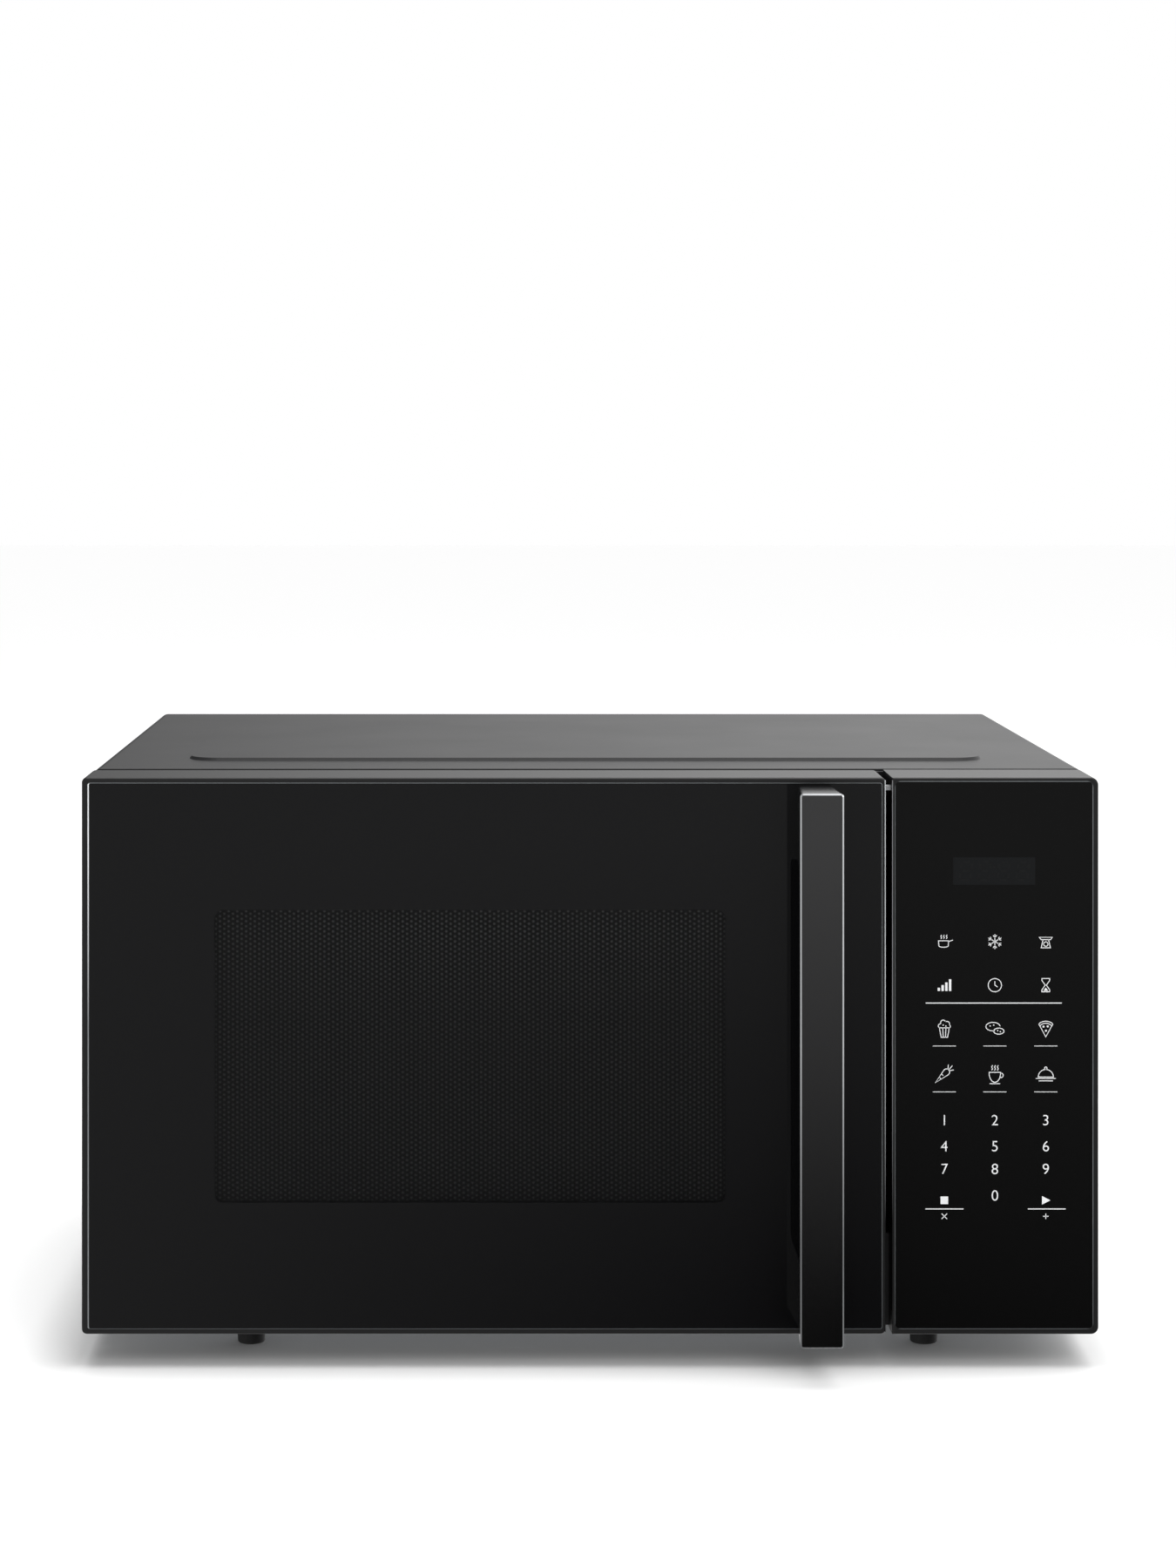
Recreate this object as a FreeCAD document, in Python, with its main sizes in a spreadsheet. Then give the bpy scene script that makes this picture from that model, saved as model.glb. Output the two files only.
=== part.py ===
import FreeCAD, Part

import math
import os
import re

import Sketcher

# A countertop microwave oven, lying in its own frame: X to the right seen from the front,
# -Y towards the user, +Z up, with the origin on the counter under the middle of the oven.

Vector = FreeCAD.Vector
Rotation = FreeCAD.Rotation
alongX = Vector(1, 0, 0)
alongY = Vector(0, 1, 0)
alongZ = Vector(0, 0, 1)

document = FreeCAD.newDocument("MicrowaveOven")
sheet = document.addObject("Spreadsheet::Sheet", "Sizes")

# Driving dimensions, in millimetres.
drivingSizes = [
    ("ovenWidth", 483, "width of the front panel"),
    ("ovenTop", 280.8, "top of the door and the case above the counter"),
    ("ovenDepth", 400, "handle to rear screws"),
    ("footHeight", 16.4, "underside of the front panel above the counter"),
    ("handleReach", 36, "handle face ahead of the door glass"),
    ("doorDepth", 36, "thickness of the door"),
    ("doorGap", 2.5, "door back to front plate"),
    ("doorRight", 140.4, "right edge of the door"),
    ("panelLeft", 143.5, "left edge of the control panel"),
    ("rim", 2.4, "wall of the door frame and of the panel bezel"),
    ("slimRim", 1.3, "wall of the panel bezel beside the door"),
    ("hingeRim", 2.8, "wall of the door frame at the hinge side"),
    ("latchRim", 1.5, "wall of the door frame at the latch side"),
    ("panelTopRim", 1.6, "upper wall of the panel bezel"),
    ("glassRecess", 0.4, "glass behind the rim"),
    ("glassThick", 3, "door and panel glass"),
    ("sheetThick", 0.8, "case and base sheet steel"),
    ("caseProud", 0.5, "case side outside the front panel's edge"),
    ("caseSetback", 43, "case front edge behind the front plane"),
    ("caseRadius", 4.5, "bend radius of the case"),
    ("embossHeight", 1.4, "raised panel on the case top"),
    ("embossHalfWidth", 199.5, "raised panel"),
    ("embossFront", 82.5, "raised panel's front edge behind the front plane"),
    ("embossRear", 296, "raised panel's rear edge behind the front plane"),
    ("cavityLeft", -216, "inside of the oven cavity"),
    ("cavityRight", 104, "inside of the oven cavity"),
    ("cavityFloor", 50, "inside of the oven cavity"),
    ("cavityTop", 258, "inside of the oven cavity"),
    ("cavityRear", 186, "inside of the oven cavity"),
    ("tableX", -56, "turntable axis"),
    ("tableY", 30, "turntable axis"),
    ("trayRadius", 135, "glass tray"),
    ("wellRadius", 112, "turntable well in the cavity floor"),
    ("wellDepth", 3, "turntable well"),
    ("ringRadius", 102.5, "middle of the roller wheels from the turntable axis"),
    ("wheelRadius", 8, "roller wheels"),
    ("hingeInset", 9, "hinge axis from the door's left edge"),
    ("hingeSetback", 14, "hinge axis behind the front plane"),
    ("pinRadius", 3, "hinge pins"),
    ("windowLeft", -179, "perforated window"),
    ("windowRight", 65, "perforated window"),
    ("windowBottom", 78.2, "perforated window"),
    ("windowTop", 218.5, "perforated window"),
    ("handleCentre", 106.8, "middle of the handle bar"),
    ("handleBottom", 19.4, "lower end of the handle"),
    ("handleTop", 277, "upper end of the handle"),
    ("handleBackWidth", 16.4, "handle where it meets the glass"),
    ("handleFrontWidth", 20.5, "handle at its face"),
    ("gripBottom", 53.5, "finger gap behind the handle"),
    ("gripTop", 242, "finger gap behind the handle"),
    ("gripDepth", 23.5, "finger gap behind the handle"),
    ("footSpread", 164.5, "feet from the middle of the oven"),
    ("footRadius", 7.3, "feet"),
    ("fanX", 178, "fan axis"),
    ("fanZ", 118, "fan axis"),
    ("fanRadius", 44, "fan blade"),
    ("hookX", 121, "middle of the latch hooks"),
    ("displayLeft", 172.5, "display module"),
    ("displayRight", 211.5, "display module"),
    ("displayBottom", 229, "display module"),
    ("displayTop", 242, "display module"),
]

# Places that follow from the driving dimensions.
places = {
    "halfWidth": "ovenWidth / 2",
    "rearY": "ovenDepth / 2",
    "frontY": "handleReach - ovenDepth / 2",
    "doorBack": "frontY + doorDepth",
    "plateFront": "doorBack + doorGap",
    "plateBack": "plateFront + 1",
    "glassFront": "frontY + glassRecess",
    "glassBack": "glassFront + glassThick",
    "caseFront": "frontY + caseSetback",
    "caseRear": "rearY - 2",
    "caseHalf": "halfWidth + caseProud",
    "caseBottom": "footHeight + 0.8",
    "caseTop": "ovenTop",
    "baseTop": "caseBottom + sheetThick",
    "innerHalf": "caseHalf - sheetThick - 0.2",
    "innerTop": "caseTop - sheetThick - 0.2",
    "wellFloor": "cavityFloor - wellDepth",
    "hingeX": "hingeInset - halfWidth",
    "hingeY": "frontY + hingeSetback",
    "wheelAxisZ": "wellFloor + 0.3 + wheelRadius",
    "trayUnderside": "wheelAxisZ + wheelRadius + 0.3",
    "hingeLowZ": "footHeight + 9.6",
    "hingeHighZ": "ovenTop - 10.8",
    "wallOut": "cavityRight + sheetThick",
}

for row, (alias, value, note) in enumerate(drivingSizes, start=1):
    sheet.set(f"A{row}", note)
    sheet.set(f"B{row}", str(value))
    sheet.setAlias(f"B{row}", alias)
sizeValues = {alias: value for alias, value, note in drivingSizes}
document.recompute()


def spelledOut(text, known):
    """A formula with its places written out and its sizes looked up."""
    def swap(match):
        word = match.group(0)
        if word in places:
            return "(" + spelledOut(places[word], known) + ")"
        return known(word)
    return re.sub(r"[A-Za-z]\w*", swap, str(text))


def formula(text):
    return spelledOut(text, lambda word: "Sizes." + word)


def number(text):
    return FreeCAD.Units.Quantity(spelledOut(text, lambda word: str(sizeValues[word]))).Value


def bind(thing, prop, text):
    thing.setExpression(prop, formula(text))


def place(thing, x, y, z):
    bind(thing, "Placement.Base.x", x)
    bind(thing, "Placement.Base.y", y)
    bind(thing, "Placement.Base.z", z)


# Part primitives and booleans.

def box(x, y, z):
    """A block from pairs of bounds along X, Y and Z."""
    block = document.addObject("Part::Box", "Block")
    for prop, (low, high) in zip(("Length", "Width", "Height"), (x, y, z)):
        bind(block, prop, f"({high}) - ({low})")
    place(block, x[0], y[0], z[0])
    return block


turnTo = {
    "X": Rotation(Vector(0, 1, 0), 90),
    "Y": Rotation(Vector(1, 0, 0), -90),
    "Z": Rotation(),
}


def rod(axis, start, radius, length):
    """A cylinder that starts at a point and runs along an axis."""
    cylinder = document.addObject("Part::Cylinder", "Rod")
    bind(cylinder, "Radius", radius)
    bind(cylinder, "Height", length)
    cylinder.Placement = FreeCAD.Placement(Vector(), turnTo[axis])
    place(cylinder, *start)
    return cylinder


def fuse(things):
    if len(things) == 1:
        return things[0]
    joined = document.addObject("Part::MultiFuse", "Joined")
    joined.Shapes = things
    return joined


def cut(base, tools):
    remainder = document.addObject("Part::Cut", "Remainder")
    remainder.Base = base
    remainder.Tool = fuse(tools)
    return remainder


def group(things):
    together = document.addObject("Part::Compound", "Group")
    together.Links = things
    return together


def tube(axis, start, outer, inner, length):
    return cut(rod(axis, start, outer, length), [rod(axis, start, inner, length)])


def rounded(thing, radius, wanted):
    """Round the edges of a Part object that a test picks out."""
    document.recompute()
    edges = [index for index, edge in enumerate(thing.Shape.Edges, start=1) if wanted(edge)]
    softened = document.addObject("Part::Fillet", "Softened")
    softened.Base = thing
    softened.Edges = [(index, number(radius), number(radius)) for index in edges]
    return softened


def spoke(middle, axis, angle, size, offset):
    """A block turned about an axis through a middle point, after an offset of its own."""
    block = document.addObject("Part::Box", "Spoke")
    for prop, length in zip(("Length", "Width", "Height"), size):
        bind(block, prop, length)
    turn = FreeCAD.Placement(Vector(*[number(text) for text in middle]), Rotation(axis, angle))
    block.Placement = turn.multiply(offset)
    return block


def slots(x, y, z, along, count, pitch):
    """A row of equal openings."""
    row = []
    for index in range(count):
        bounds = {"X": x, "Y": y, "Z": z}
        low, high = bounds[along]
        shift = index * pitch
        bounds[along] = (f"{low} + {shift}", f"{high} + {shift}")
        row.append(box(bounds["X"], bounds["Y"], bounds["Z"]))
    return row


# Part Design bodies.

def newBody(name):
    return document.addObject("PartDesign::Body", name + "_body")


def sketch(body, role, offset):
    """A sketch on one of the body's own origin planes, moved along the plane's normal."""
    plane = next(item for item in body.Origin.OriginFeatures if item.Role == role)
    drawing = body.newObject("Sketcher::SketchObject", "Sketch")
    drawing.AttachmentSupport = [(plane, "")]
    drawing.MapMode = "FlatFace"
    bind(drawing, "AttachmentOffset.Base.z", offset)
    return drawing


def frontSketch(body, y):
    """A sketch in X and Z whose normal points to the user."""
    return sketch(body, "XZ_Plane", f"-({y})")


def outline(drawing, corners):
    """A closed polygon whose corners are formulas."""
    points = [Vector(number(across), number(up), 0) for across, up in corners]
    first = drawing.GeometryCount
    count = len(points)
    for index in range(count):
        drawing.addGeometry(Part.LineSegment(points[index], points[(index + 1) % count]), False)
    for index in range(count):
        after = first + (index + 1) % count
        drawing.addConstraint(Sketcher.Constraint("Coincident", first + index, 2, after, 1))
    for index, (across, up) in enumerate(corners):
        point = points[index]
        for kind, value, text in (("DistanceX", point.x, across), ("DistanceY", point.y, up)):
            held = drawing.addConstraint(Sketcher.Constraint(kind, -1, 1, first + index, 1, value))
            bind(drawing, f"Constraints[{held}]", text)


def frameOutline(drawing, left, right, bottom, top):
    outline(drawing, [(left, bottom), (right, bottom), (right, top), (left, top)])


def roundedFrame(drawing, left, right, bottom, top, radius):
    """A rectangle with tangent arcs at its corners, held by the arcs' middles and radii."""
    lowX, highX = f"({left}) + ({radius})", f"({right}) - ({radius})"
    lowY, highY = f"({bottom}) + ({radius})", f"({top}) - ({radius})"
    middles = [(lowX, lowY, 180), (highX, lowY, 270), (highX, highY, 0), (lowX, highY, 90)]
    size = number(radius)
    arcs = []
    for across, up, startAngle in middles:
        middle = Vector(number(across), number(up), 0)
        circle = Part.Circle(middle, alongZ, size)
        start = math.radians(startAngle)
        arcs.append(drawing.addGeometry(Part.ArcOfCircle(circle, start, start + math.pi / 2), False))
        for kind, value, text in (("DistanceX", middle.x, across), ("DistanceY", middle.y, up)):
            held = drawing.addConstraint(Sketcher.Constraint(kind, -1, 1, arcs[-1], 3, value))
            bind(drawing, f"Constraints[{held}]", text)
        held = drawing.addConstraint(Sketcher.Constraint("Radius", arcs[-1], size))
        bind(drawing, f"Constraints[{held}]", radius)
    for index, arc in enumerate(arcs):
        following = arcs[(index + 1) % 4]
        start = drawing.getPoint(arc, 2)
        end = drawing.getPoint(following, 1)
        line = drawing.addGeometry(Part.LineSegment(start, end), False)
        drawing.addConstraint(Sketcher.Constraint("Tangent", arc, 2, line, 1))
        drawing.addConstraint(Sketcher.Constraint("Tangent", line, 2, following, 1))


def ringOutline(drawing, across, up, radius):
    middle = Vector(number(across), number(up), 0)
    index = drawing.addGeometry(Part.Circle(middle, Vector(0, 0, 1), number(radius)), False)
    wanted = (
        (Sketcher.Constraint("DistanceX", -1, 1, index, 3, middle.x), across),
        (Sketcher.Constraint("DistanceY", -1, 1, index, 3, middle.y), up),
        (Sketcher.Constraint("Radius", index, number(radius)), radius),
    )
    for constraint, text in wanted:
        held = drawing.addConstraint(constraint)
        bind(drawing, f"Constraints[{held}]", text)


def settled(feature):
    """The feature, once it has been worked out without a fault."""
    document.recompute()
    if not feature.isValid() or "Touched" in feature.State:
        raise ValueError(f"{feature.getParentGeoFeatureGroup().Name}: {feature.Name} failed")
    return feature


def pad(body, drawing, length, backwards=False, taper=0):
    feature = body.newObject("PartDesign::Pad", "Pad")
    feature.Profile = drawing
    feature.Reversed = backwards
    bind(feature, "Length", length)
    feature.TaperAngle = taper
    return settled(feature)


def pocket(body, drawing, length, backwards=False, taper=0):
    """A cut against the sketch's normal, checked to remove something."""
    document.recompute()
    before = body.Shape.Volume
    feature = body.newObject("PartDesign::Pocket", "Pocket")
    feature.Profile = drawing
    feature.Reversed = backwards
    bind(feature, "Length", length)
    feature.TaperAngle = taper
    settled(feature)
    if body.Shape.Volume > before - 0.01:
        raise ValueError(f"{body.Name}: a pocket removed nothing")
    return feature


def soften(body, radius, wanted):
    """Fillet the edges of a body that a test picks out."""
    document.recompute()
    tip = body.Tip
    names = [f"Edge{index}" for index, edge in enumerate(tip.Shape.Edges, start=1) if wanted(edge)]
    if not names:
        raise ValueError(f"{body.Name}: no edge to round")
    feature = body.newObject("PartDesign::Fillet", "Rounding")
    feature.Base = (tip, names)
    bind(feature, "Radius", radius)
    return settled(feature)


def runsAlong(edge, axis):
    """True for a straight edge along X, Y or Z."""
    if len(edge.Vertexes) != 2:
        return False
    span = edge.Vertexes[1].Point - edge.Vertexes[0].Point
    return span.Length > 0 and abs(abs(span.normalize().dot(axis)) - 1) < 1e-6


def lies(edge, axis, value):
    """True when the whole edge lies at one coordinate."""
    bounds = edge.BoundBox
    low, high = {
        "X": (bounds.XMin, bounds.XMax),
        "Y": (bounds.YMin, bounds.YMax),
        "Z": (bounds.ZMin, bounds.ZMax),
    }[axis]
    return abs(low - value) < 1e-4 and abs(high - value) < 1e-4


nodes = {}


def node(name, thing):
    thing.Label = name
    nodes[name] = thing
    return thing


# ---------------------------------------------------------------- casing

def outerCase():
    """A bent cover: top and two sides, an inward lip at the rear and a raised panel on top."""
    body = newBody("outer_case")
    profile = frontSketch(body, "caseRear")
    innerX, innerZ = "caseHalf - sheetThick", "caseTop - sheetThick"
    outline(profile, [
        ("-caseHalf", "caseBottom"), ("-caseHalf", "caseTop"),
        ("caseHalf", "caseTop"), ("caseHalf", "caseBottom"),
        (innerX, "caseBottom"), (innerX, innerZ),
        (f"-({innerX})", innerZ), (f"-({innerX})", "caseBottom"),
    ])
    pad(body, profile, "caseRear - caseFront")
    for radius, level in (("caseRadius", "caseTop"), ("caseRadius - sheetThick", innerZ)):
        height = number(level)
        soften(body, radius, lambda edge: runsAlong(edge, alongY) and lies(edge, "Z", height))
    front, side, top = number("caseFront"), number("caseHalf"), number("caseTop")
    soften(body, 0.45, lambda edge: lies(edge, "Y", front) and edge.Length > 3
           and (max(edge.BoundBox.XMax, -edge.BoundBox.XMin) > side - 0.01 or edge.BoundBox.ZMax > top - 0.01))
    lip = frontSketch(body, "caseRear")
    outline(lip, [
        ("0.4 - caseHalf", "caseBottom"), ("0.4 - caseHalf", "caseTop - 2.9"),
        ("2.9 - caseHalf", "caseTop - 0.4"), ("caseHalf - 2.9", "caseTop - 0.4"),
        ("caseHalf - 0.4", "caseTop - 2.9"), ("caseHalf - 0.4", "caseBottom"),
        ("caseHalf - 12", "caseBottom"), ("caseHalf - 12", "caseTop - 12"),
        ("12 - caseHalf", "caseTop - 12"), ("12 - caseHalf", "caseBottom"),
    ])
    pad(body, lip, "sheetThick")
    raised = sketch(body, "XY_Plane", "caseTop")
    roundedFrame(raised, "-embossHalfWidth", "embossHalfWidth",
                 "frontY + embossFront", "frontY + embossRear", 15)
    pad(body, raised, "embossHeight", taper=-35)
    sunken = sketch(body, "XY_Plane", "caseTop - sheetThick")
    roundedFrame(sunken, "4 - embossHalfWidth", "embossHalfWidth - 4",
                 "frontY + embossFront + 4", "frontY + embossRear - 4", 11)
    pocket(body, sunken, "embossHeight", backwards=True)
    for side in ("-", ""):
        vents = sketch(body, "YZ_Plane", 0)
        for index in range(12):
            across = f"plateBack + 190 + {index * 8}"
            frameOutline(vents, across, f"{across} + 3", "baseTop + 92", "baseTop + 132")
        pocket(body, vents, "halfWidth + 5", backwards=(side == ""))
    for x in ("-caseHalf + 7", "caseHalf - 7"):
        for z in ("baseTop + 30", "ovenTop - 60"):
            hole = frontSketch(body, "caseRear + 1")
            ringOutline(hole, x, z, 2)
            pocket(body, hole, 3, backwards=True)
    return body


def basePlate():
    """Floor pan with upturned sides, foot holes, cooling slots and a service hole below the motor."""
    floor = box(("-innerHalf", "innerHalf"), ("plateBack", "caseRear - sheetThick"), ("caseBottom", "baseTop"))
    along, up = ("plateBack + 12", "caseRear - 2.4"), ("baseTop", "baseTop + 12")
    sides = [
        box(("-innerHalf", "-innerHalf + sheetThick"), along, up),
        box(("innerHalf - sheetThick", "innerHalf"), along, up),
    ]
    holes = [rod("Z", ("tableX", "tableY", "caseBottom - 1"), 34, 4)]
    for x in ("-footSpread", "footSpread"):
        for y in ("frontY + 48", "rearY - 50"):
            holes.append(rod("Z", (x, y, "caseBottom - 1"), 3, 4))
    holes += slots(("150", "153"), ("-90", "-50"), ("caseBottom - 1", "baseTop + 1"), "X", 9, 8)
    holes += slots(("-150", "-147"), ("100", "140"), ("caseBottom - 1", "baseTop + 1"), "X", 9, 8)
    return cut(fuse([floor] + sides), holes)


def backPlate():
    """Rear sheet with inlet slots beside the fan, outlet slots and the cord gland's hole."""
    depth = ("caseRear - 2 * sheetThick", "caseRear - sheetThick")
    sheetBody = box(("-innerHalf", "innerHalf"), depth, ("baseTop", "innerTop"))
    corners = rounded(sheetBody, "caseRadius", lambda edge: runsAlong(edge, alongY)
                      and edge.BoundBox.ZMin > number("innerTop") - 1)
    through = ("caseRear - 2 * sheetThick - 1", "caseRear - sheetThick + 1")
    holes = []
    for bank in range(3):
        low = f"fanZ - 37 + {bank * 27}"
        holes += slots(("fanX - 42", "fanX - 38"), through, (low, f"{low} + 20"), "X", 11, 8)
    for bank in range(2):
        low = f"186 + {bank * 27}"
        holes += slots(("-190", "-186"), through, (low, f"{low} + 20"), "X", 14, 8)
    holes.append(rod("Y", (212, "caseRear - 3", 52), 9, 4))
    for x in ("-caseHalf + 7", "caseHalf - 7"):
        for z in ("baseTop + 30", "ovenTop - 60"):
            holes.append(rod("Y", (x, "caseRear - 3", z), 2, 4))
    return cut(corners, holes)


def frontPlate():
    """Pressed front of the oven body: a turned-back flange, the cavity opening, hook and hinge slots."""
    body = newBody("front_plate")
    face = frontSketch(body, "plateBack + 5")
    roundedFrame(face, "-innerHalf", "innerHalf", "baseTop", "innerTop", "caseRadius - 1")
    pad(body, face, 6)
    hollow = frontSketch(body, "plateBack + 5")
    roundedFrame(hollow, "1 - innerHalf", "innerHalf - 1", "baseTop + 1", "innerTop - 1", "caseRadius - 2")
    pocket(body, hollow, 5, backwards=True)
    opening = frontSketch(body, "plateFront")
    roundedFrame(opening, "cavityLeft", "cavityRight", "cavityFloor", "cavityTop", 6)
    pocket(body, opening, 2)
    slotsSketch = frontSketch(body, "plateFront")
    for low in (82, 142, 204):
        frameOutline(slotsSketch, "hookX - 3", "hookX + 6.5", low, low + 22)
    for low in ("hingeLowZ - 0.3", "hingeHighZ - 0.3"):
        frameOutline(slotsSketch, "hingeX - 5.9", "hingeX + 5.9", low, f"{low} + 2.6")
    pocket(body, slotsSketch, 2)
    return body


def cavityLiner():
    """Five-sided welded box with a round well for the roller ring, lamp, air and wave openings."""
    x, z = ("cavityLeft", "cavityRight"), ("cavityFloor", "cavityTop")
    outer = box((f"{x[0]} - sheetThick", f"{x[1]} + sheetThick"), ("plateBack", "cavityRear + sheetThick"),
                (f"{z[0]} - sheetThick", f"{z[1]} + sheetThick"))
    softOuter = rounded(outer, 6.8, lambda edge: runsAlong(edge, alongY))
    well = rod("Z", ("tableX", "tableY", "wellFloor - sheetThick"), "wellRadius + sheetThick", "wellDepth")
    inner = box(x, ("plateBack - 1", "cavityRear"), z)
    softInner = rounded(inner, 6, lambda edge: runsAlong(edge, alongY))
    dish = rod("Z", ("tableX", "tableY", "wellFloor"), "wellRadius", "wellDepth + 1")
    shaftHole = rod("Z", ("tableX", "tableY", "wellFloor - 5"), 6, 10)
    wall = ("cavityRight - 1", "cavityRight + 2")
    waveOpening = box(wall, (50, 100), (140, 190))
    holes = [softInner, dish, shaftHole, waveOpening]
    for z0 in (180, 192, 204, 216):
        for step in range(8):
            holes.append(rod("X", ("cavityRight - 1", -56 + step * 7, z0), 2, 3))
    for z0 in (216, 228):
        for step in range(12):
            holes.append(rod("Y", (-160 + step * 7, "cavityRear - 1", z0), 2, 3))
    return cut(fuse([softOuter, well]), holes)


def motorAccessCover():
    plate = rod("Z", ("tableX", "tableY", "caseBottom - 0.8"), 40, 0.8)
    stops = tube("Z", ("tableX", "tableY", "caseBottom"), 33.7, 31, "sheetThick")
    return fuse([plate, stops])


def hingeBrackets():
    """Two steel tongues welded behind the front plate, each with a pin that the door turns on."""
    pieces = []
    for low, flangeLow, pinLow in (
        ("hingeLowZ", "hingeLowZ", "hingeLowZ + 2"),
        ("hingeHighZ", "hingeHighZ - 7", "hingeHighZ - 7"),
    ):
        across = ("hingeX - 5.5", "hingeX + 5.5")
        flange = box(across, ("plateBack", "plateBack + 1.5"), (flangeLow, f"{flangeLow} + 9"))
        tongue = box(across, ("hingeY", "plateBack"), (low, f"{low} + 2"))
        nose = rod("Z", ("hingeX", "hingeY", low), 5.5, 2)
        pin = rod("Z", ("hingeX", "hingeY", pinLow), "pinRadius", 7)
        pieces.append(fuse([flange, tongue, nose, pin]))
    return group(pieces)


def feet(y):
    """Moulded feet, slightly tapered, each with a stem through the base plate."""
    pieces = []
    for x in ("-footSpread", "footSpread"):
        cone = document.addObject("Part::Cone", "Foot")
        bind(cone, "Radius1", "footRadius - 0.7")
        bind(cone, "Radius2", "footRadius")
        bind(cone, "Height", "caseBottom")
        place(cone, x, y, 0)
        stem = rod("Z", (x, y, "caseBottom"), 2.9, 4)
        pieces.append(fuse([rounded(cone, 1, lambda edge: lies(edge, "Z", 0)), stem]))
    return group(pieces)


def caseScrews():
    pieces = []
    for x in ("-caseHalf + 7", "caseHalf - 7"):
        for z in ("baseTop + 30", "ovenTop - 60"):
            head = rod("Y", (x, "caseRear", z), 3.6, 2)
            shank = rod("Y", (x, "caseRear - 8", z), 1.9, 8)
            recess = fuse([
                box((f"{x} - 1.6", f"{x} + 1.6"), ("rearY - 1", "rearY + 1"), (f"{z} - 0.4", f"{z} + 0.4")),
                box((f"{x} - 0.4", f"{x} + 0.4"), ("rearY - 1", "rearY + 1"), (f"{z} - 1.6", f"{z} + 1.6")),
            ])
            domed = rounded(head, 0.8, lambda edge: lies(edge, "Y", number("rearY")))
            pieces.append(cut(fuse([domed, shank]), [recess]))
    return group(pieces)


def cordGland():
    """Bush in the back plate where the supply cord comes out."""
    start = "caseRear - 2 * sheetThick"
    barrel = tube("Y", (212, f"{start} - 6", 52), 8.9, 4, 9.2)
    inside = tube("Y", (212, f"{start} - 6", 52), 11, 4, 6)
    outside = tube("Y", (212, "caseRear - sheetThick", 52), 11, 4, 2.4)
    return fuse([barrel, inside, outside])


# ---------------------------------------------------------------- microwave source and cooling

def waveguide():
    """Rectangular duct welded to the cavity's right wall; the magnetron stands on its outer face."""
    shell = box(("wallOut", 140), (6, 106), (132, 252))
    hollow = box(("wallOut - 1", 139), (7, 105), (133, 251))
    antennaHole = rod("X", (130, 45, 205), 10, 20)
    return cut(shell, [hollow, antennaHole])


def waveguideCover():
    return box(("cavityRight - 0.6", "cavityRight"), (44, 106), (134, 196))


def magnetronYoke():
    frame = box((140, 196), (2, 88), (166, 244))
    tunnel = box((142, 194), (0, 90), (168, 242))
    return cut(frame, [tunnel, rod("X", (138, 45, 205), 10, 60)])


def magnetronCore():
    """Copper anode with ring magnets, its antenna reaching into the waveguide."""
    anode = rod("X", (142, 45, 205), 19, 52)
    antenna = rod("X", (120, 45, 205), 8, 22)
    tip = rod("X", (112, 45, 205), 5, 8)
    stem = rod("X", (194, 45, 205), 9.9, 2)
    return fuse([anode, antenna, tip, stem])


def magnetronFins():
    fins = []
    for index in range(8):
        x = 150 + index * 5
        plate = box((x, x + 0.8), (4, 86), (168, 242))
        fins.append(cut(plate, [rod("X", (x - 1, 45, 205), 19, 3)]))
    return group(fins)


def magnetronFilterBox():
    shell = box((196, 224), (17, 73), (182, 228))
    hollow = box((197, 223), (18, 72), (183, 227))
    return cut(shell, [hollow])


def transformerCore():
    """Laminated core on its mounting plate, with two windows for the windings."""
    block = box((140, 230), (-4, 52), ("baseTop + 3", "baseTop + 78"))
    windows = [
        box((155, 170), (-5, 53), ("baseTop + 18", "baseTop + 63")),
        box((200, 215), (-5, 53), ("baseTop + 18", "baseTop + 63")),
    ]
    plate = box((130, 236), (4, 44), ("baseTop", "baseTop + 3"))
    return fuse([cut(block, windows), plate])


def transformerWindings():
    coil = rounded(box((155, 215), (-18, 66), ("baseTop + 18", "baseTop + 63")), 8,
                   lambda edge: runsAlong(edge, alongZ))
    limb = box((170, 200), (-4, 52), ("baseTop + 17", "baseTop + 64"))
    return cut(coil, [limb])


def highVoltageCapacitor():
    """Oval can lying across the floor pan, with two blade terminals."""
    can = rounded(box((128, 160), (84, 174), ("baseTop + 1.5", "baseTop + 53")), 14,
                  lambda edge: runsAlong(edge, alongY))
    blades = [
        box((136, 137), (72, 84), ("baseTop + 22", "baseTop + 28")),
        box((151, 152), (72, 84), ("baseTop + 22", "baseTop + 28")),
    ]
    return fuse([can] + blades)


def capacitorClamp():
    outer = rounded(box((126.5, 161.5), (120, 136), ("baseTop", "baseTop + 54.5")), 15,
                    lambda edge: runsAlong(edge, alongY) and edge.BoundBox.ZMin > number("baseTop") + 5)
    inner = rounded(box((128, 160), (119, 137), ("baseTop + 1.5", "baseTop + 53")), 14,
                    lambda edge: runsAlong(edge, alongY))
    tab = box((110, 126.5), (120, 136), ("baseTop", "baseTop + 1.5"))
    return cut(fuse([outer, tab]), [inner])


def highVoltageDiode():
    bodyRod = rod("Y", (116, 76, "baseTop + 8"), 4, 26)
    lug = box((112, 120), (106, 118), ("baseTop", "baseTop + 2"))
    wire = fuse([
        rod("Y", (116, 102, "baseTop + 8"), 1, 10),
        rod("Z", (116, 112, "baseTop + 2"), 1, 7),
    ])
    return fuse([bodyRod, lug, wire])


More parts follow.
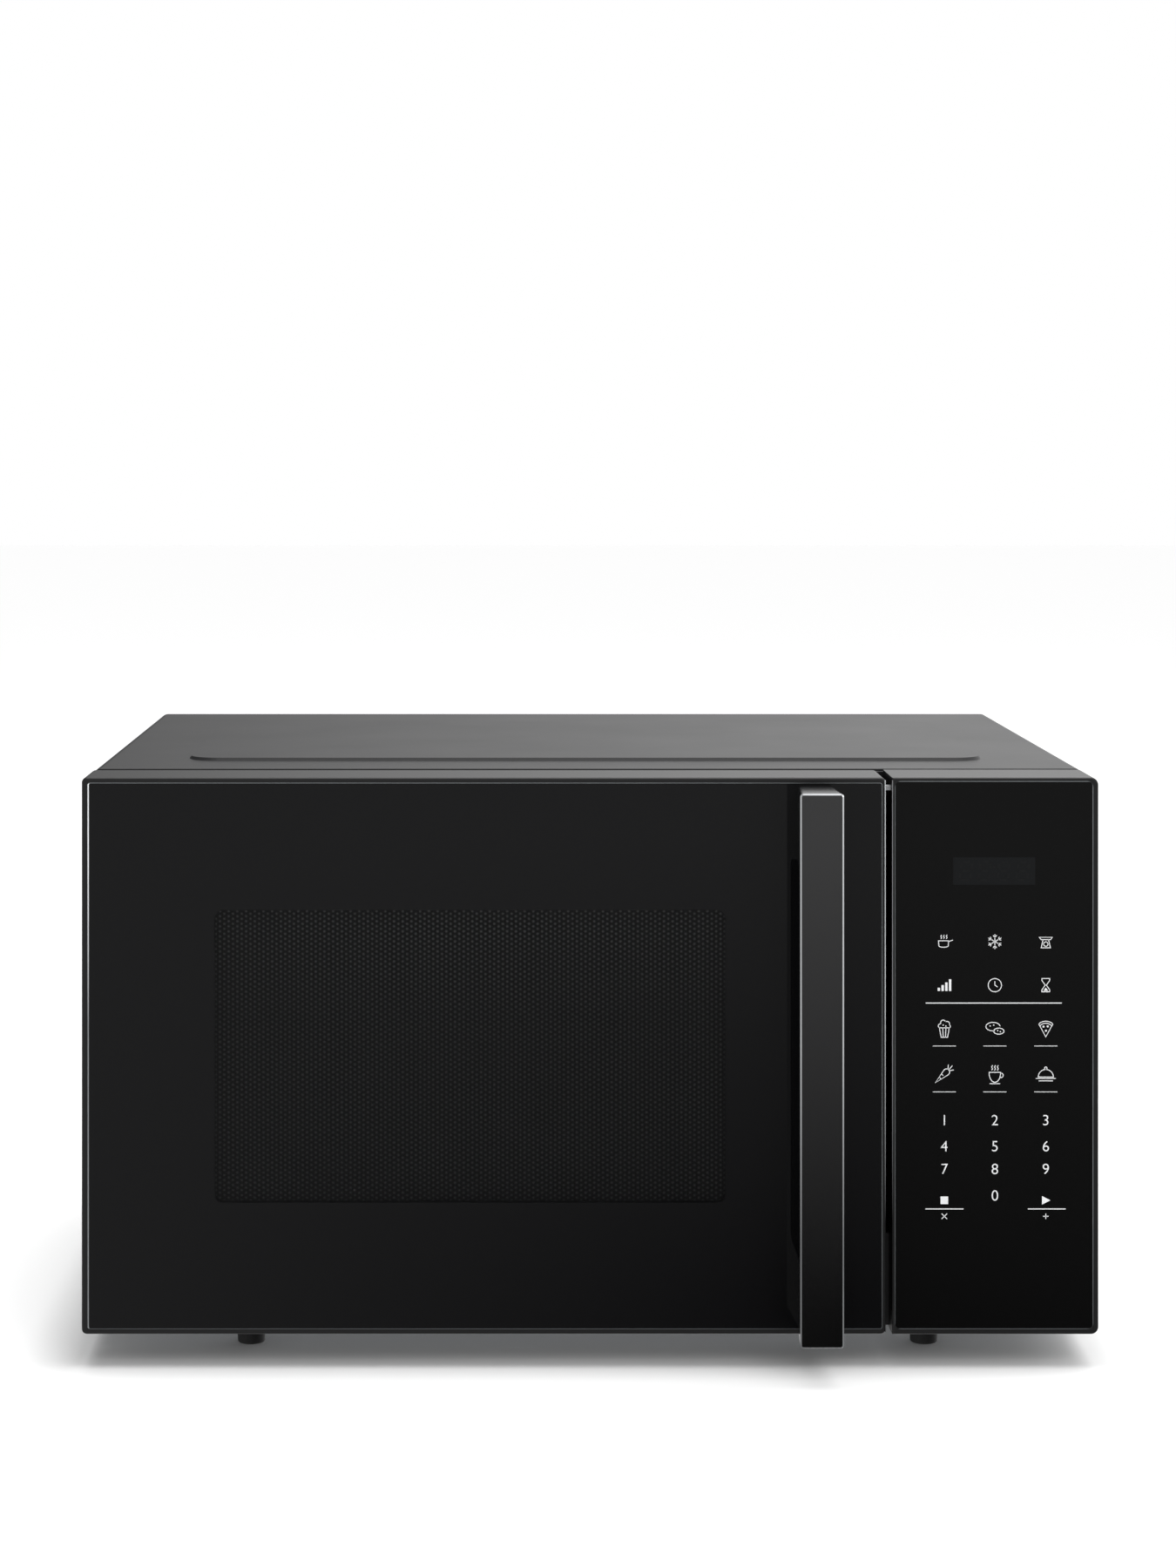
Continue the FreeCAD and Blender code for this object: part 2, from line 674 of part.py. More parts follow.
def fanShroud():
    """Square plate inside the back plate with a round throat for the blade and arms for the motor."""
    back = "caseRear - 2 * sheetThick"
    plate = box(("fanX - 52", "fanX + 52"), (f"{back} - 2.4", back), ("fanZ - 52", "fanZ + 52"))
    throat = tube("Y", ("fanX", f"{back} - 20", "fanZ"), "fanRadius + 4", "fanRadius + 2", 20)
    arms = box(("fanX - fanRadius - 3", "fanX + fanRadius + 3"), (f"{back} - 24", f"{back} - 20"),
               ("fanZ - 6", "fanZ + 6"))
    hub = rod("Y", ("fanX", f"{back} - 24", "fanZ"), 12, 4)
    opening = rod("Y", ("fanX", f"{back} - 19.9", "fanZ"), "fanRadius + 2", 30)
    bore = rod("Y", ("fanX", f"{back} - 30", "fanZ"), 3, 12)
    return cut(fuse([cut(fuse([plate, throat]), [opening]), arms, hub]), [bore])


def fanMotor():
    """Shaded-pole motor behind the arms: a core, its coil and a bearing for the fan shaft."""
    back = "caseRear - 2 * sheetThick - 24"
    core = box(("fanX - 22", "fanX + 22"), (f"{back} - 18", back), ("fanZ - 16", "fanZ + 38"))
    winding = box(("fanX - 16", "fanX + 16"), (f"{back} - 30", f"{back} - 18"), ("fanZ + 18", "fanZ + 36"))
    coil = rounded(winding, 4, lambda edge: runsAlong(edge, alongX))
    bore = rod("Y", ("fanX", f"{back} - 16", "fanZ"), 2.05, 30)
    return cut(fuse([core, coil]), [bore])


def fanBlade():
    """Five twisted blades on a hub and shaft."""
    back = "caseRear - 2 * sheetThick"
    hub = tube("Y", ("fanX", f"{back} - 17", "fanZ"), 11, 2, 14)
    shaft = rod("Y", ("fanX", f"{back} - 39", "fanZ"), 2, 37)
    parts = [hub, shaft]
    middle = ("fanX", f"{back} - 10", "fanZ")
    for index in range(5):
        pitch = FreeCAD.Placement(Vector(9, -0.6, -7), Rotation(alongX, 32), Vector(0, 0.6, 7))
        parts.append(spoke(middle, alongY, index * 72, ("fanRadius - 9", 1.2, 15), pitch))
    return fuse(parts)


def airDuct():
    """Thin duct from the magnetron's fins to the holes in the cavity's right wall."""
    shell = box(("wallOut", 196), (-66, 2), (166, 244))
    hollow = box(("wallOut - 1", 194.6), (-64.6, 3), (167.4, 242.6))
    return cut(shell, [hollow])


# ---------------------------------------------------------------- turntable

def turntableMotor():
    """Flat geared motor hung under the cavity floor by two ears."""
    top = "wellFloor - sheetThick"
    can = rod("Z", ("tableX", "tableY", f"{top} - 17"), 25, 17)
    ears = box(("tableX - 32", "tableX + 32"), ("tableY - 5", "tableY + 5"), (f"{top} - 1.5", top))
    bore = rod("Z", ("tableX", "tableY", f"{top} - 12"), 3.05, 20)
    return cut(fuse([can, ears]), [bore])


def turntableCoupler():
    """Driven shaft with a three-armed hub that fits under the glass tray."""
    shaft = rod("Z", ("tableX", "tableY", "wellFloor - sheetThick - 11"), 3, "trayUnderside - wellFloor + 4")
    hub = rod("Z", ("tableX", "tableY", "wellFloor + 1.5"), 10, "trayUnderside - wellFloor + 1.5")
    parts = [shaft, hub]
    for index in range(3):
        lift = FreeCAD.Placement(Vector(0, -3, 0), Rotation())
        size = (15, 6, "trayUnderside - wellFloor + 1.5")
        parts.append(spoke(("tableX", "tableY", "wellFloor + 1.5"), alongZ, index * 120, size, lift))
    return fuse(parts)


def glassTray():
    """Shallow glass dish with three hub pockets underneath; turned about its own axis."""
    body = newBody("glass_tray")
    profile = sketch(body, "XZ_Plane", "-tableY")
    low = "trayUnderside"
    outline(profile, [
        ("tableX", f"{low} + 3.6"), ("tableX + 17", f"{low} + 3.6"), ("tableX + 17", low),
        ("tableX + ringRadius + 12", low), ("tableX + trayRadius - 4", f"{low} + 6"),
        ("tableX + trayRadius", f"{low} + 14"), ("tableX + trayRadius", f"{low} + 16.5"),
        ("tableX + trayRadius - 2.5", f"{low} + 16.5"), ("tableX + trayRadius - 8", f"{low} + 9.5"),
        ("tableX + ringRadius + 8", f"{low} + 5"), ("tableX + 24", f"{low} + 5"), ("tableX", f"{low} + 8.6"),
    ])
    turned = body.newObject("PartDesign::Revolution", "Turned")
    turned.Profile = profile
    turned.ReferenceAxis = (profile, ["Edge12"])
    turned.Angle = 360
    return body


def rollerRing():
    """Plastic ring that carries three wheels under the tray, each on a stub axle."""
    parts = [tube("Z", ("tableX", "tableY", "wheelAxisZ - 2"), "ringRadius - 5", "ringRadius - 11", 4)]
    for index in range(3):
        stub = document.addObject("Part::Cylinder", "Stub")
        stub.Radius = 1.8
        stub.Height = 12.5
        middle = Vector(number("tableX"), number("tableY"), number("wheelAxisZ"))
        turn = FreeCAD.Placement(middle, Rotation(alongZ, index * 120))
        outwards = FreeCAD.Placement(Vector(number("ringRadius") - 8, 0, 0), turnTo["X"])
        stub.Placement = turn.multiply(outwards)
        parts.append(stub)
    return fuse(parts)


def rollerWheel(index):
    middle = Vector(number("tableX"), number("tableY"), number("wheelAxisZ"))
    turn = FreeCAD.Placement(middle, Rotation(alongZ, index * 120))
    outwards = FreeCAD.Placement(Vector(number("ringRadius") - 3, 0, 0), turnTo["X"])
    pieces = []
    for radius in ("wheelRadius", 1.85):
        disc = document.addObject("Part::Cylinder", "Disc")
        bind(disc, "Radius", radius)
        disc.Height = 6
        disc.Placement = turn.multiply(outwards)
        pieces.append(disc)
    return cut(pieces[0], [pieces[1]])


# ---------------------------------------------------------------- latch side

switchHeights = (92, 150, 214)


def latchBoard():
    """Moulded bracket behind the front plate with two hook pockets and three switch seats."""
    block = box(("hookX - 7", "hookX + 11"), ("plateBack", "plateBack + 26"), (66, 240))
    pockets = []
    for low in (78, 139, 200):
        pockets.append(box(("hookX - 4", "hookX + 8"), ("plateBack - 1", "plateBack + 18"), (low, low + 30)))
    relief = [
        box(("hookX - 8", "hookX + 12"), ("plateBack + 4", "plateBack + 27"), (low, low + 20))
        for low in (113, 174)
    ]
    buttonWays = [
        box(("hookX - 2", "hookX + 2"), ("plateBack + 8", "plateBack + 27"), (z - 2, z + 2))
        for z in switchHeights
    ]
    return cut(block, pockets + relief + buttonWays)


def interlockSwitches():
    """Three snap switches on the latch board, each with terminal blades."""
    pieces = []
    for z in switchHeights:
        block = box(("hookX - 5", "hookX + 5"), ("plateBack + 26", "plateBack + 42"), (z - 14, z + 14))
        way = box(("hookX - 2.1", "hookX + 2.1"), ("plateBack + 25", "plateBack + 32"), (z - 2.1, z + 2.1))
        blades = [
            box(("hookX - 3", "hookX + 3"), ("plateBack + 42", "plateBack + 49"), (z + step, z + step + 0.8))
            for step in (-10, 0, 9)
        ]
        pieces.append(fuse([cut(block, [way])] + blades))
    return group(pieces)


def switchButton(z):
    """A plunger that stands just behind the closed latch hook."""
    return box(("hookX - 1.7", "hookX + 1.7"), ("plateBack + 15.5", "plateBack + 30"), (z - 1.7, z + 1.7))


def doorBumper():
    """Light block that the closed door's edge meets beside the top of the control panel."""
    return box(("doorRight + 0.6", "panelLeft"), ("frontY + 6", "frontY + 12"),
               ("ovenTop - 6.6", "ovenTop - 4.6"))


# ---------------------------------------------------------------- control panel

def panelBezel():
    """Hollow moulding beside the door, open at the back, with a ledge for the glass."""
    body = newBody("control_panel_bezel")
    outer = frontSketch(body, "plateFront")
    frameOutline(outer, "panelLeft", "halfWidth", "footHeight", "ovenTop")
    pad(body, outer, "plateFront - frontY")
    soften(body, 3.5, lambda edge: runsAlong(edge, alongY) and edge.BoundBox.XMin > number("halfWidth") - 1)
    soften(body, 0.9, lambda edge: lies(edge, "Y", number("frontY")))
    soften(body, 0.5, lambda edge: lies(edge, "Y", number("plateFront")))
    seat = frontSketch(body, "frontY")
    roundedFrame(seat, "panelLeft + slimRim", "halfWidth - rim", "footHeight + rim", "ovenTop - panelTopRim", 3)
    pocket(body, seat, "glassRecess + glassThick")
    hollow = frontSketch(body, "plateFront")
    roundedFrame(hollow, "panelLeft + rim", "halfWidth - rim", "footHeight + rim", "ovenTop - rim", 3)
    pocket(body, hollow, "plateFront - glassBack - 2.4", backwards=True)
    window = frontSketch(body, "glassBack")
    roundedFrame(window, "panelLeft + 8", "halfWidth - 8", "footHeight + 8", "ovenTop - 8", 3)
    pocket(body, window, 6)
    lip = sketch(body, "XY_Plane", "footHeight + 0.8")
    frameOutline(lip, "panelLeft - 2.1", "panelLeft + 0.5", "frontY + 14", "frontY + 17")
    pad(body, lip, 44)
    return body


def panelGlass():
    plate = box(("panelLeft + slimRim", "halfWidth - rim"), ("glassFront", "glassBack"),
                ("footHeight + rim", "ovenTop - panelTopRim"))
    return rounded(plate, 3, lambda edge: runsAlong(edge, alongY))


def keypadFilm():
    """Clear touch film behind the panel glass."""
    return box(("panelLeft + 9", "halfWidth - 9"), ("glassBack", "glassBack + 0.4"),
               ("footHeight + 9", "ovenTop - 9"))


def displayModule():
    return box(("displayLeft - 4", "displayRight + 4"), ("glassBack + 0.4", "glassBack + 10"),
               ("displayBottom - 5", "displayTop + 5"))


def controlBoard():
    """Plain circuit board behind the display."""
    return box(("panelLeft + 6", "halfWidth - 6"), ("glassBack + 10", "glassBack + 11.6"), (60, 262))


def boardComponents():
    """Two relays, the standby transformer, the processor and the sounder on the back of the board."""
    y = "glassBack + 11.6"
    pieces = [
        box((155, 171), (y, f"{y} + 15"), (70, 98)),
        box((176, 192), (y, f"{y} + 15"), (70, 98)),
        box((198, 230), (y, f"{y} + 17"), (68, 104)),
        box((180, 206), (y, f"{y} + 2.5"), (150, 164)),
        rod("Y", (215, y, 190), 11, 9),
    ]
    return group(pieces)


# ---------------------------------------------------------------- small electrics

def filterBoard():
    """Mains filter board on the right of the back plate with a choke and a suppressor block."""
    back = "caseRear - 2 * sheetThick"
    board = box((178, 234), (f"{back} - 10", f"{back} - 8.4"), (196, 262))
    posts = [rod("Y", (x, f"{back} - 8.4", z), 3, 8.4) for x in (184, 228) for z in (202, 256)]
    choke = rod("Y", (200, f"{back} - 28", 240), 12, 18)
    block = box((216, 230), (f"{back} - 24", f"{back} - 10"), (208, 236))
    return fuse([board, choke, block] + posts)


def fuseLink():
    """Ceramic mains fuse in two spring clips on the filter board."""
    back = "caseRear - 2 * sheetThick - 10"
    link = rod("X", (182, f"{back} - 6", 208), 3, 28)
    clips = [box((x, x + 4), (f"{back} - 4", back), (205, 211)) for x in (183, 205)]
    return fuse([link] + clips)


def ovenLamp():
    """Small bulb and holder in a housing on the cavity's right wall, behind the lamp holes."""
    housing = box(("wallOut", "wallOut + 30"), (112, 142), (206, 240))
    hollow = box(("wallOut - 1", "wallOut + 29"), (113, 141), (207, 239))
    bulb = document.addObject("Part::Sphere", "Bulb")
    bulb.Radius = 9
    place(bulb, "wallOut + 14", 127, 222)
    base = rod("Z", ("wallOut + 14", 127, 228), 6, 15)
    return fuse([cut(housing, [hollow, rod("Z", ("wallOut + 14", 127, 236), 7, 6)]), bulb,
                 base, tube("Z", ("wallOut + 14", 127, 240), 9, 5, 3)])


def thermalCutouts():
    """Two button thermostats: one on the magnetron's yoke and one on the cavity roof."""
    onYoke = box((168, 184), (88, 90), (232, 240))
    onRoof = fuse([
        rod("Z", (40, 60, "cavityTop + sheetThick"), 8, 6),
        box((26, 54), (56, 64), ("cavityTop + sheetThick", "cavityTop + sheetThick + 1")),
    ])
    return group([onYoke, onRoof])


# ---------------------------------------------------------------- door

def doorFrame():
    """Deep moulded frame: a seat for the glass in front, hinge lugs at the left, hook guides at the right."""
    body = newBody("door_frame")
    outer = frontSketch(body, "doorBack")
    frameOutline(outer, "-halfWidth", "doorRight", "footHeight", "ovenTop")
    pad(body, outer, "doorDepth")
    soften(body, 2.4, lambda edge: runsAlong(edge, alongY))
    soften(body, 1.1, lambda edge: lies(edge, "Y", number("frontY")))
    soften(body, 0.5, lambda edge: lies(edge, "Y", number("doorBack")))
    left, right = "rim - halfWidth", "doorRight - rim"
    bottom, top = "footHeight + rim", "ovenTop - rim"
    seat = frontSketch(body, "frontY")
    frameOutline(seat, "hingeRim - halfWidth", "doorRight - latchRim", bottom, top)
    pocket(body, seat, "glassRecess + glassThick")
    hollow = frontSketch(body, "doorBack")
    frameOutline(hollow, left, right, bottom, top)
    pocket(body, hollow, "doorBack - glassBack - 2.4", backwards=True)
    window = frontSketch(body, "glassBack")
    frameOutline(window, "-226", "112", "footHeight + 14", "ovenTop - 14")
    pocket(body, window, 6)
    lugs = sketch(body, "XY_Plane", "hingeLowZ + 3")
    frameOutline(lugs, "-halfWidth + 1", "hingeX + 9", "frontY + 5", "hingeY + 9")
    pad(body, lugs, 5)
    highLugs = sketch(body, "XY_Plane", "hingeHighZ - 6")
    frameOutline(highLugs, "-halfWidth + 1", "hingeX + 9", "frontY + 5", "hingeY + 9")
    pad(body, highLugs, 5)
    for offset in ("hingeLowZ + 2", "hingeHighZ - 7"):
        bores = sketch(body, "XY_Plane", offset)
        ringOutline(bores, "hingeX", "hingeY", 5.5)
        pocket(body, bores, 8, backwards=True)
    notches = sketch(body, "YZ_Plane", "-halfWidth - 1")
    for low in ("hingeLowZ - 1.2", "hingeHighZ - 1"):
        frameOutline(notches, "hingeY - 8.4", "doorBack + 1", low, f"{low} + 4.2")
    pocket(body, notches, "rim + 3", backwards=True)
    for low in (118, 176):
        guide = sketch(body, "XY_Plane", low)
        outline(guide, [
            ("doorRight - 1", "glassBack + 1"), ("hookX - 5", "glassBack + 1"),
            ("hookX - 5", "doorBack - 4"), ("hookX - 2.5", "doorBack - 4"),
            ("hookX - 2.5", "doorBack - 21"), ("hookX + 2.5", "doorBack - 21"),
            ("hookX + 2.5", "doorBack - 4"), ("doorRight - 1", "doorBack - 4"),
        ])
        pad(body, guide, 10)
    springSeat = sketch(body, "XY_Plane", 46)
    frameOutline(springSeat, "hookX - 5", "doorRight - 1", "glassBack + 1", "doorBack - 4")
    pad(body, springSeat, 3)
    return body


screwHeights = ("handleBottom + 18", "handleTop - 17")


def doorGlass():
    """Flat tinted glass over the whole door, drilled for the two handle screws."""
    plate = box(("hingeRim - halfWidth", "doorRight - latchRim"), ("glassFront", "glassBack"),
                ("footHeight + rim", "ovenTop - rim"))
    holes = [rod("Y", ("handleCentre", "glassFront - 1", z), 2.5, 5) for z in screwHeights]
    return cut(plate, holes)


def chokePanel():
    """Pressed steel pan that closes the oven's mouth, with the window opening."""
    tray = box((-222, 113), ("glassBack + 4", "doorBack - 2"), (36, 266))
    softTray = rounded(tray, 5, lambda edge: runsAlong(edge, alongY))
    hollow = rounded(box((-221, 112), ("glassBack + 5", "doorBack - 1"), (37, 265)), 4,
                     lambda edge: runsAlong(edge, alongY))
    opening = rounded(
        box(("windowLeft", "windowRight"), ("glassBack + 3", "glassBack + 6"), ("windowBottom", "windowTop")),
        4, lambda edge: runsAlong(edge, alongY))
    screwHole = rod("Y", ("handleCentre", "glassBack + 3", "handleTop - 17"), 2.5, 4)
    return cut(softTray, [hollow, opening, screwHole])


def doorScreen():
    """Finely perforated sheet welded over the window opening."""
    return box(("windowLeft - 5", "windowRight + 5"), ("glassBack + 5", "glassBack + 5.6"),
               ("windowBottom - 5", "windowTop + 5"))


def chokeCover():
    """Moulded inner face of the door around a clear inner sheet."""
    plate = box((-223, "doorRight - rim"), ("doorBack - 2", "doorBack"),
                ("footHeight + rim", "ovenTop - rim"))
    opening = box((-192, 78), ("doorBack - 3", "doorBack + 1"), (66, 231))
    softOpening = rounded(opening, 6, lambda edge: runsAlong(edge, alongY))
    ways = [box(("hookX - 3", "hookX + 3"), ("doorBack - 3", "doorBack + 1"), (low, low + 22))
            for low in (82, 142, 204)]
    return cut(plate, [softOpening] + ways)


def innerSheet():
    return box((-200, 86), ("doorBack - 2.8", "doorBack - 2"), (58, 239))


def doorHandle():
    """Full-height bar on two posts: it widens towards its face, with a finger gap behind."""
    body = newBody("door_handle")
    plan = sketch(body, "XY_Plane", "handleBottom")
    face = "-rearY"
    outline(plan, [
        ("handleCentre - handleBackWidth / 2", "glassFront"),
        ("handleCentre - handleFrontWidth / 2", face),
        ("handleCentre + handleFrontWidth / 2", face),
        ("handleCentre + handleBackWidth / 2", "glassFront"),
    ])
    pad(body, plan, "handleTop - handleBottom")
    gap = sketch(body, "YZ_Plane", "handleCentre - 20")
    inner = "glassFront - gripDepth"
    outline(gap, [
        ("glassFront + 1", "gripBottom"), (inner, "gripBottom + 3"),
        (inner, "gripTop - 3"), ("glassFront + 1", "gripTop"),
    ])
    pocket(body, gap, 40, backwards=True)
    screwHoles = frontSketch(body, "glassFront")
    for height in screwHeights:
        ringOutline(screwHoles, "handleCentre", height, 2)
    pocket(body, screwHoles, 12, backwards=True)
    faceY, endLow, endHigh = number(face), number("handleBottom + 4"), number("handleTop - 1")
    soften(body, 4, lambda edge: runsAlong(edge, alongX) and lies(edge, "Y", number(inner)))
    soften(body, 1.6, lambda edge: edge.BoundBox.YLength > 30 and edge.BoundBox.XLength > 1
           and (edge.BoundBox.ZMin > endHigh or edge.BoundBox.ZMax < endLow))
    soften(body, 0.8, lambda edge: lies(edge, "Y", faceY))
    return body


def handleScrews():
    """Two screws through the glass into the handle's posts."""
    pieces = []
    for z in screwHeights:
        head = rod("Y", ("handleCentre", "glassBack", z), 3.6, 2.4)
        shank = rod("Y", ("handleCentre", "glassFront - 12", z), 2, "glassThick + 12")
        pieces.append(fuse([head, shank]))
    return group(pieces)


def hingeBushes():
    pieces = []
    for low in ("hingeLowZ + 3", "hingeHighZ - 6"):
        pieces.append(tube("Z", ("hingeX", "hingeY", low), 5.5, "pinRadius + 0.05", 5))
    return group(pieces)


def latchHooks():
    """One lever with two hooks and a plain finger that reach through the front plate; it slides up to let go."""
    bar = box(("hookX - 2", "hookX + 2"), ("doorBack - 20", "doorBack - 6"), (72, 232))
    parts = [bar]
    for low in (84, 206):
        arm = box(("hookX - 2", "hookX + 2"), ("doorBack - 7", "plateBack + 15"), (low + 4, low + 12))
        tooth = box(("hookX - 2", "hookX + 2"), ("plateBack + 8", "plateBack + 15"), (low, low + 5))
        parts += [arm, tooth]
    parts.append(box(("hookX - 2", "hookX + 2"), ("doorBack - 7", "plateBack + 15"), (146, 154)))
    return fuse(parts)


def hookSpring():
    """Coil between the lever's lower end and the frame's spring seat."""
    return tube("Z", ("hookX", "doorBack - 13", 49.2), 3.2, 2.2, 22.6)


# ---------------------------------------------------------------- every sub-part in its own node

node("outer_case", outerCase())
node("base_plate", basePlate())
node("back_plate", backPlate())
node("front_plate", frontPlate())
node("cavity_liner", cavityLiner())
node("motor_access_cover", motorAccessCover())
node("hinge_brackets", hingeBrackets())
node("front_feet", feet("frontY + 48"))
node("rear_feet", feet("rearY - 50"))
node("case_screws", caseScrews())
node("cord_gland", cordGland())
node("waveguide", waveguide())
node("waveguide_cover", waveguideCover())
node("magnetron_yoke", magnetronYoke())
node("magnetron_core", magnetronCore())
node("magnetron_fins", magnetronFins())
node("magnetron_filter_box", magnetronFilterBox())
node("transformer_core", transformerCore())
node("transformer_windings", transformerWindings())
node("high_voltage_capacitor", highVoltageCapacitor())
node("capacitor_clamp", capacitorClamp())
node("high_voltage_diode", highVoltageDiode())
node("fan_shroud", fanShroud())
node("fan_motor", fanMotor())
node("fan_blade", fanBlade())
node("air_duct", airDuct())
node("turntable_motor", turntableMotor())
node("turntable_coupler", turntableCoupler())
node("glass_tray", glassTray())
node("roller_ring", rollerRing())
for wheel in range(3):
    node(f"roller_wheel_{wheel + 1}", rollerWheel(wheel))
node("latch_board", latchBoard())
node("interlock_switches", interlockSwitches())
for name, height in zip(("lower", "middle", "upper"), switchHeights):
    node(f"{name}_switch_button", switchButton(height))
node("door_bumper", doorBumper())
node("control_panel_bezel", panelBezel())
node("control_panel_glass", panelGlass())
node("touch_keypad_film", keypadFilm())
node("display_module", displayModule())
node("control_board", controlBoard())
node("board_components", boardComponents())
node("filter_board", filterBoard())
node("fuse_link", fuseLink())
node("oven_lamp", ovenLamp())
node("thermal_cutouts", thermalCutouts())
node("door_frame", doorFrame())
node("door_glass", doorGlass())
node("door_choke_panel", chokePanel())
node("door_screen", doorScreen())
node("choke_cover", chokeCover())
node("door_inner_sheet", innerSheet())
node("door_handle", doorHandle())
node("handle_screws", handleScrews())
node("hinge_bushes", hingeBushes())
node("latch_hooks", latchHooks())
node("hook_spring", hookSpring())

document.recompute()
failed = [item.Name for item in document.Objects if "Invalid" in item.State or "Error" in item.State]
for name, thing in nodes.items():
    if thing.Shape.isNull() or not thing.Shape.isValid():
        failed.append(name)
if failed:
    raise ValueError("failed: " + ", ".join(failed))

os.makedirs("parts", exist_ok=True)
for name, thing in nodes.items():
    thing.Shape.exportStep(f"parts/{name}.step")
    print(name, len(thing.Shape.Solids), round(thing.Shape.Volume))
print(len(nodes), "nodes")
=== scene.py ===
import math

import bmesh
import bpy
from mathutils import Matrix, Vector


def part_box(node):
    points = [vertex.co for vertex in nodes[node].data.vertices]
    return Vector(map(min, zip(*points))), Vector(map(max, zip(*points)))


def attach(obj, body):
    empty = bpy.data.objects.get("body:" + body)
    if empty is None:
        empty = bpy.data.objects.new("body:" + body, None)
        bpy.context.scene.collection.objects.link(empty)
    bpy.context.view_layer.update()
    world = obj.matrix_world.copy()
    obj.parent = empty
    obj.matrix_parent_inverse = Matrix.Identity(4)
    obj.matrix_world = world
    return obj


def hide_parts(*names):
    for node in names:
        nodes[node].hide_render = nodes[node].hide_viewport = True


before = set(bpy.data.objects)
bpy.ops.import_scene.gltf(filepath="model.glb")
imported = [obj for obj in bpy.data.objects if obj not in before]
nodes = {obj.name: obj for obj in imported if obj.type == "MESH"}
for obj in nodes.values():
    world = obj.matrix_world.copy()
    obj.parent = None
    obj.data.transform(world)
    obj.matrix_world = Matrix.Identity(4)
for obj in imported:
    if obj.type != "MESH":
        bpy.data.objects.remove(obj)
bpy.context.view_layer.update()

# Countertop microwave oven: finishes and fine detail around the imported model. Metres, +Z up, -Y to the user.
mm = 0.001
scene = bpy.context.scene
print("frame loaded:", len(nodes), "nodes")

doorLow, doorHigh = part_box("door_frame")
glassLow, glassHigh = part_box("door_glass")
panelLow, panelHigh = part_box("control_panel_glass")
bezelLow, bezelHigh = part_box("control_panel_bezel")
handleLow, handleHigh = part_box("door_handle")
screenLow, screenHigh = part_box("door_screen")
displayLow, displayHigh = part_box("display_module")
trayLow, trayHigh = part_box("glass_tray")

camera = {
    "ahead": 1721.6 * mm,    # in front of the oven's middle
    "side": -40.0 * mm,
    "height": 441.1 * mm,
    "lens": 75.3,
    "shiftX": 0.0524,
    "shiftY": -0.2193,
    "farthest": 30,
}

# what the sky gives to the object; each fade: an axis, two places along it, the value at each
sky = {
    "bright": 1.12,          # behind and above the oven
    "front": 0.58,           # in front, a little below the eye
    "fades": {
        "behind": ("Y", -0.2, 0.6, 0, 1),
        "above": ("Z", 0.25, 0.95, 0, 1),
        "back": ("X", -0.2, 0.12, 0.12, 1),          # darker to the left
        "ground": ("X", -0.12, 0.09, 0.50, 0.04),    # darker to the right
        "rise": ("Z", -0.255, -0.12, 0, 1),
    },
}

floorLook = {
    "colour": "FCFCFC",
    "reach": (9, 6, 12),     # metres to each side, to the front and to the back
    "glow": 0.02,            # in the painted shadow patch under the oven, where the floor glows less
    "glowFar": 0.36,         # clear of it, so that the floor runs into the backdrop
    # the painted shadow patch: its half size round the oven, and how far it is moved back
    "paintedShadowSize": (0.245, 0.255, 0),
    "paintedShadowBack": 0.10,
    "glowReach": 30 * mm,
}

# each lamp: power, size, place, the point it faces, and whether it shows in reflections
lamps = {
    "topSoftbox": (37, 2.4, (0.1, 0.2, 2.3), (0, 0, 0.1), True),
    "frontFill": (16, 1.6, (0.3, -2.4, 1.5), (0, -0.1, 0.15), False),
    "sideFill": (4, 1.2, (2.2, -0.2, 0.9), (0.2, 0, 0.15), True),
}

cavityLamp = {
    "power": 0.70,
    "size": 120 * mm,
    "back": 20 * mm,
    "below": 8 * mm,         # under the cavity's roof
}


def linear(hexText):
    channels = [int(hexText[i:i + 2], 16) / 255 for i in (0, 2, 4)]
    return tuple(c / 12.92 if c <= 0.04045 else ((c + 0.055) / 1.055) ** 2.4 for c in channels) + (1.0,)


def addNode(tree, kind, settings=None, links=None):
    # a number is a socket's place; a node among the links stands for its first output
    made = tree.nodes.new(kind)
    for name, value in (settings or {}).items():
        if isinstance(name, int) or name in made.inputs:
            made.inputs[name].default_value = value
        else:
            setattr(made, name, value)
    for name, source in (links or {}).items():
        first = source.outputs[0] if isinstance(source, bpy.types.Node) else source
        tree.links.new(first, made.inputs[name])
    return made


def newFinish(name, colour=None, **values):
    material = bpy.data.materials.new(name)
    material.use_nodes = True
    tree = material.node_tree
    shader = tree.nodes["Principled BSDF"]
    if colour:
        shader.inputs["Base Color"].default_value = linear(colour)
    sockets = {"roughness": "Roughness", "metallic": "Metallic", "ior": "IOR", "alpha": "Alpha",
               "specular": "Specular IOR Level", "transmission": "Transmission Weight"}
    for key, value in values.items():
        shader.inputs[sockets[key]].default_value = value
    where = addNode(tree, "ShaderNodeTexCoord").outputs["Object"]
    return material, tree, shader, where


def meshFrom(name, built):
    mesh = bpy.data.meshes.new(name)
    built.to_mesh(mesh)
    built.free()
    return mesh


def makeCamera():
    data = bpy.data.cameras.new("camera")
    data.lens = camera["lens"]
    data.shift_x = camera["shiftX"]
    data.shift_y = camera["shiftY"]
    data.clip_end = camera["farthest"]
    eye = bpy.data.objects.new("camera", data)
    eye.location = (camera["side"], -camera["ahead"], camera["height"])
    eye.rotation_euler = (math.pi / 2, 0, 0)
    scene.collection.objects.link(eye)
    scene.camera = eye


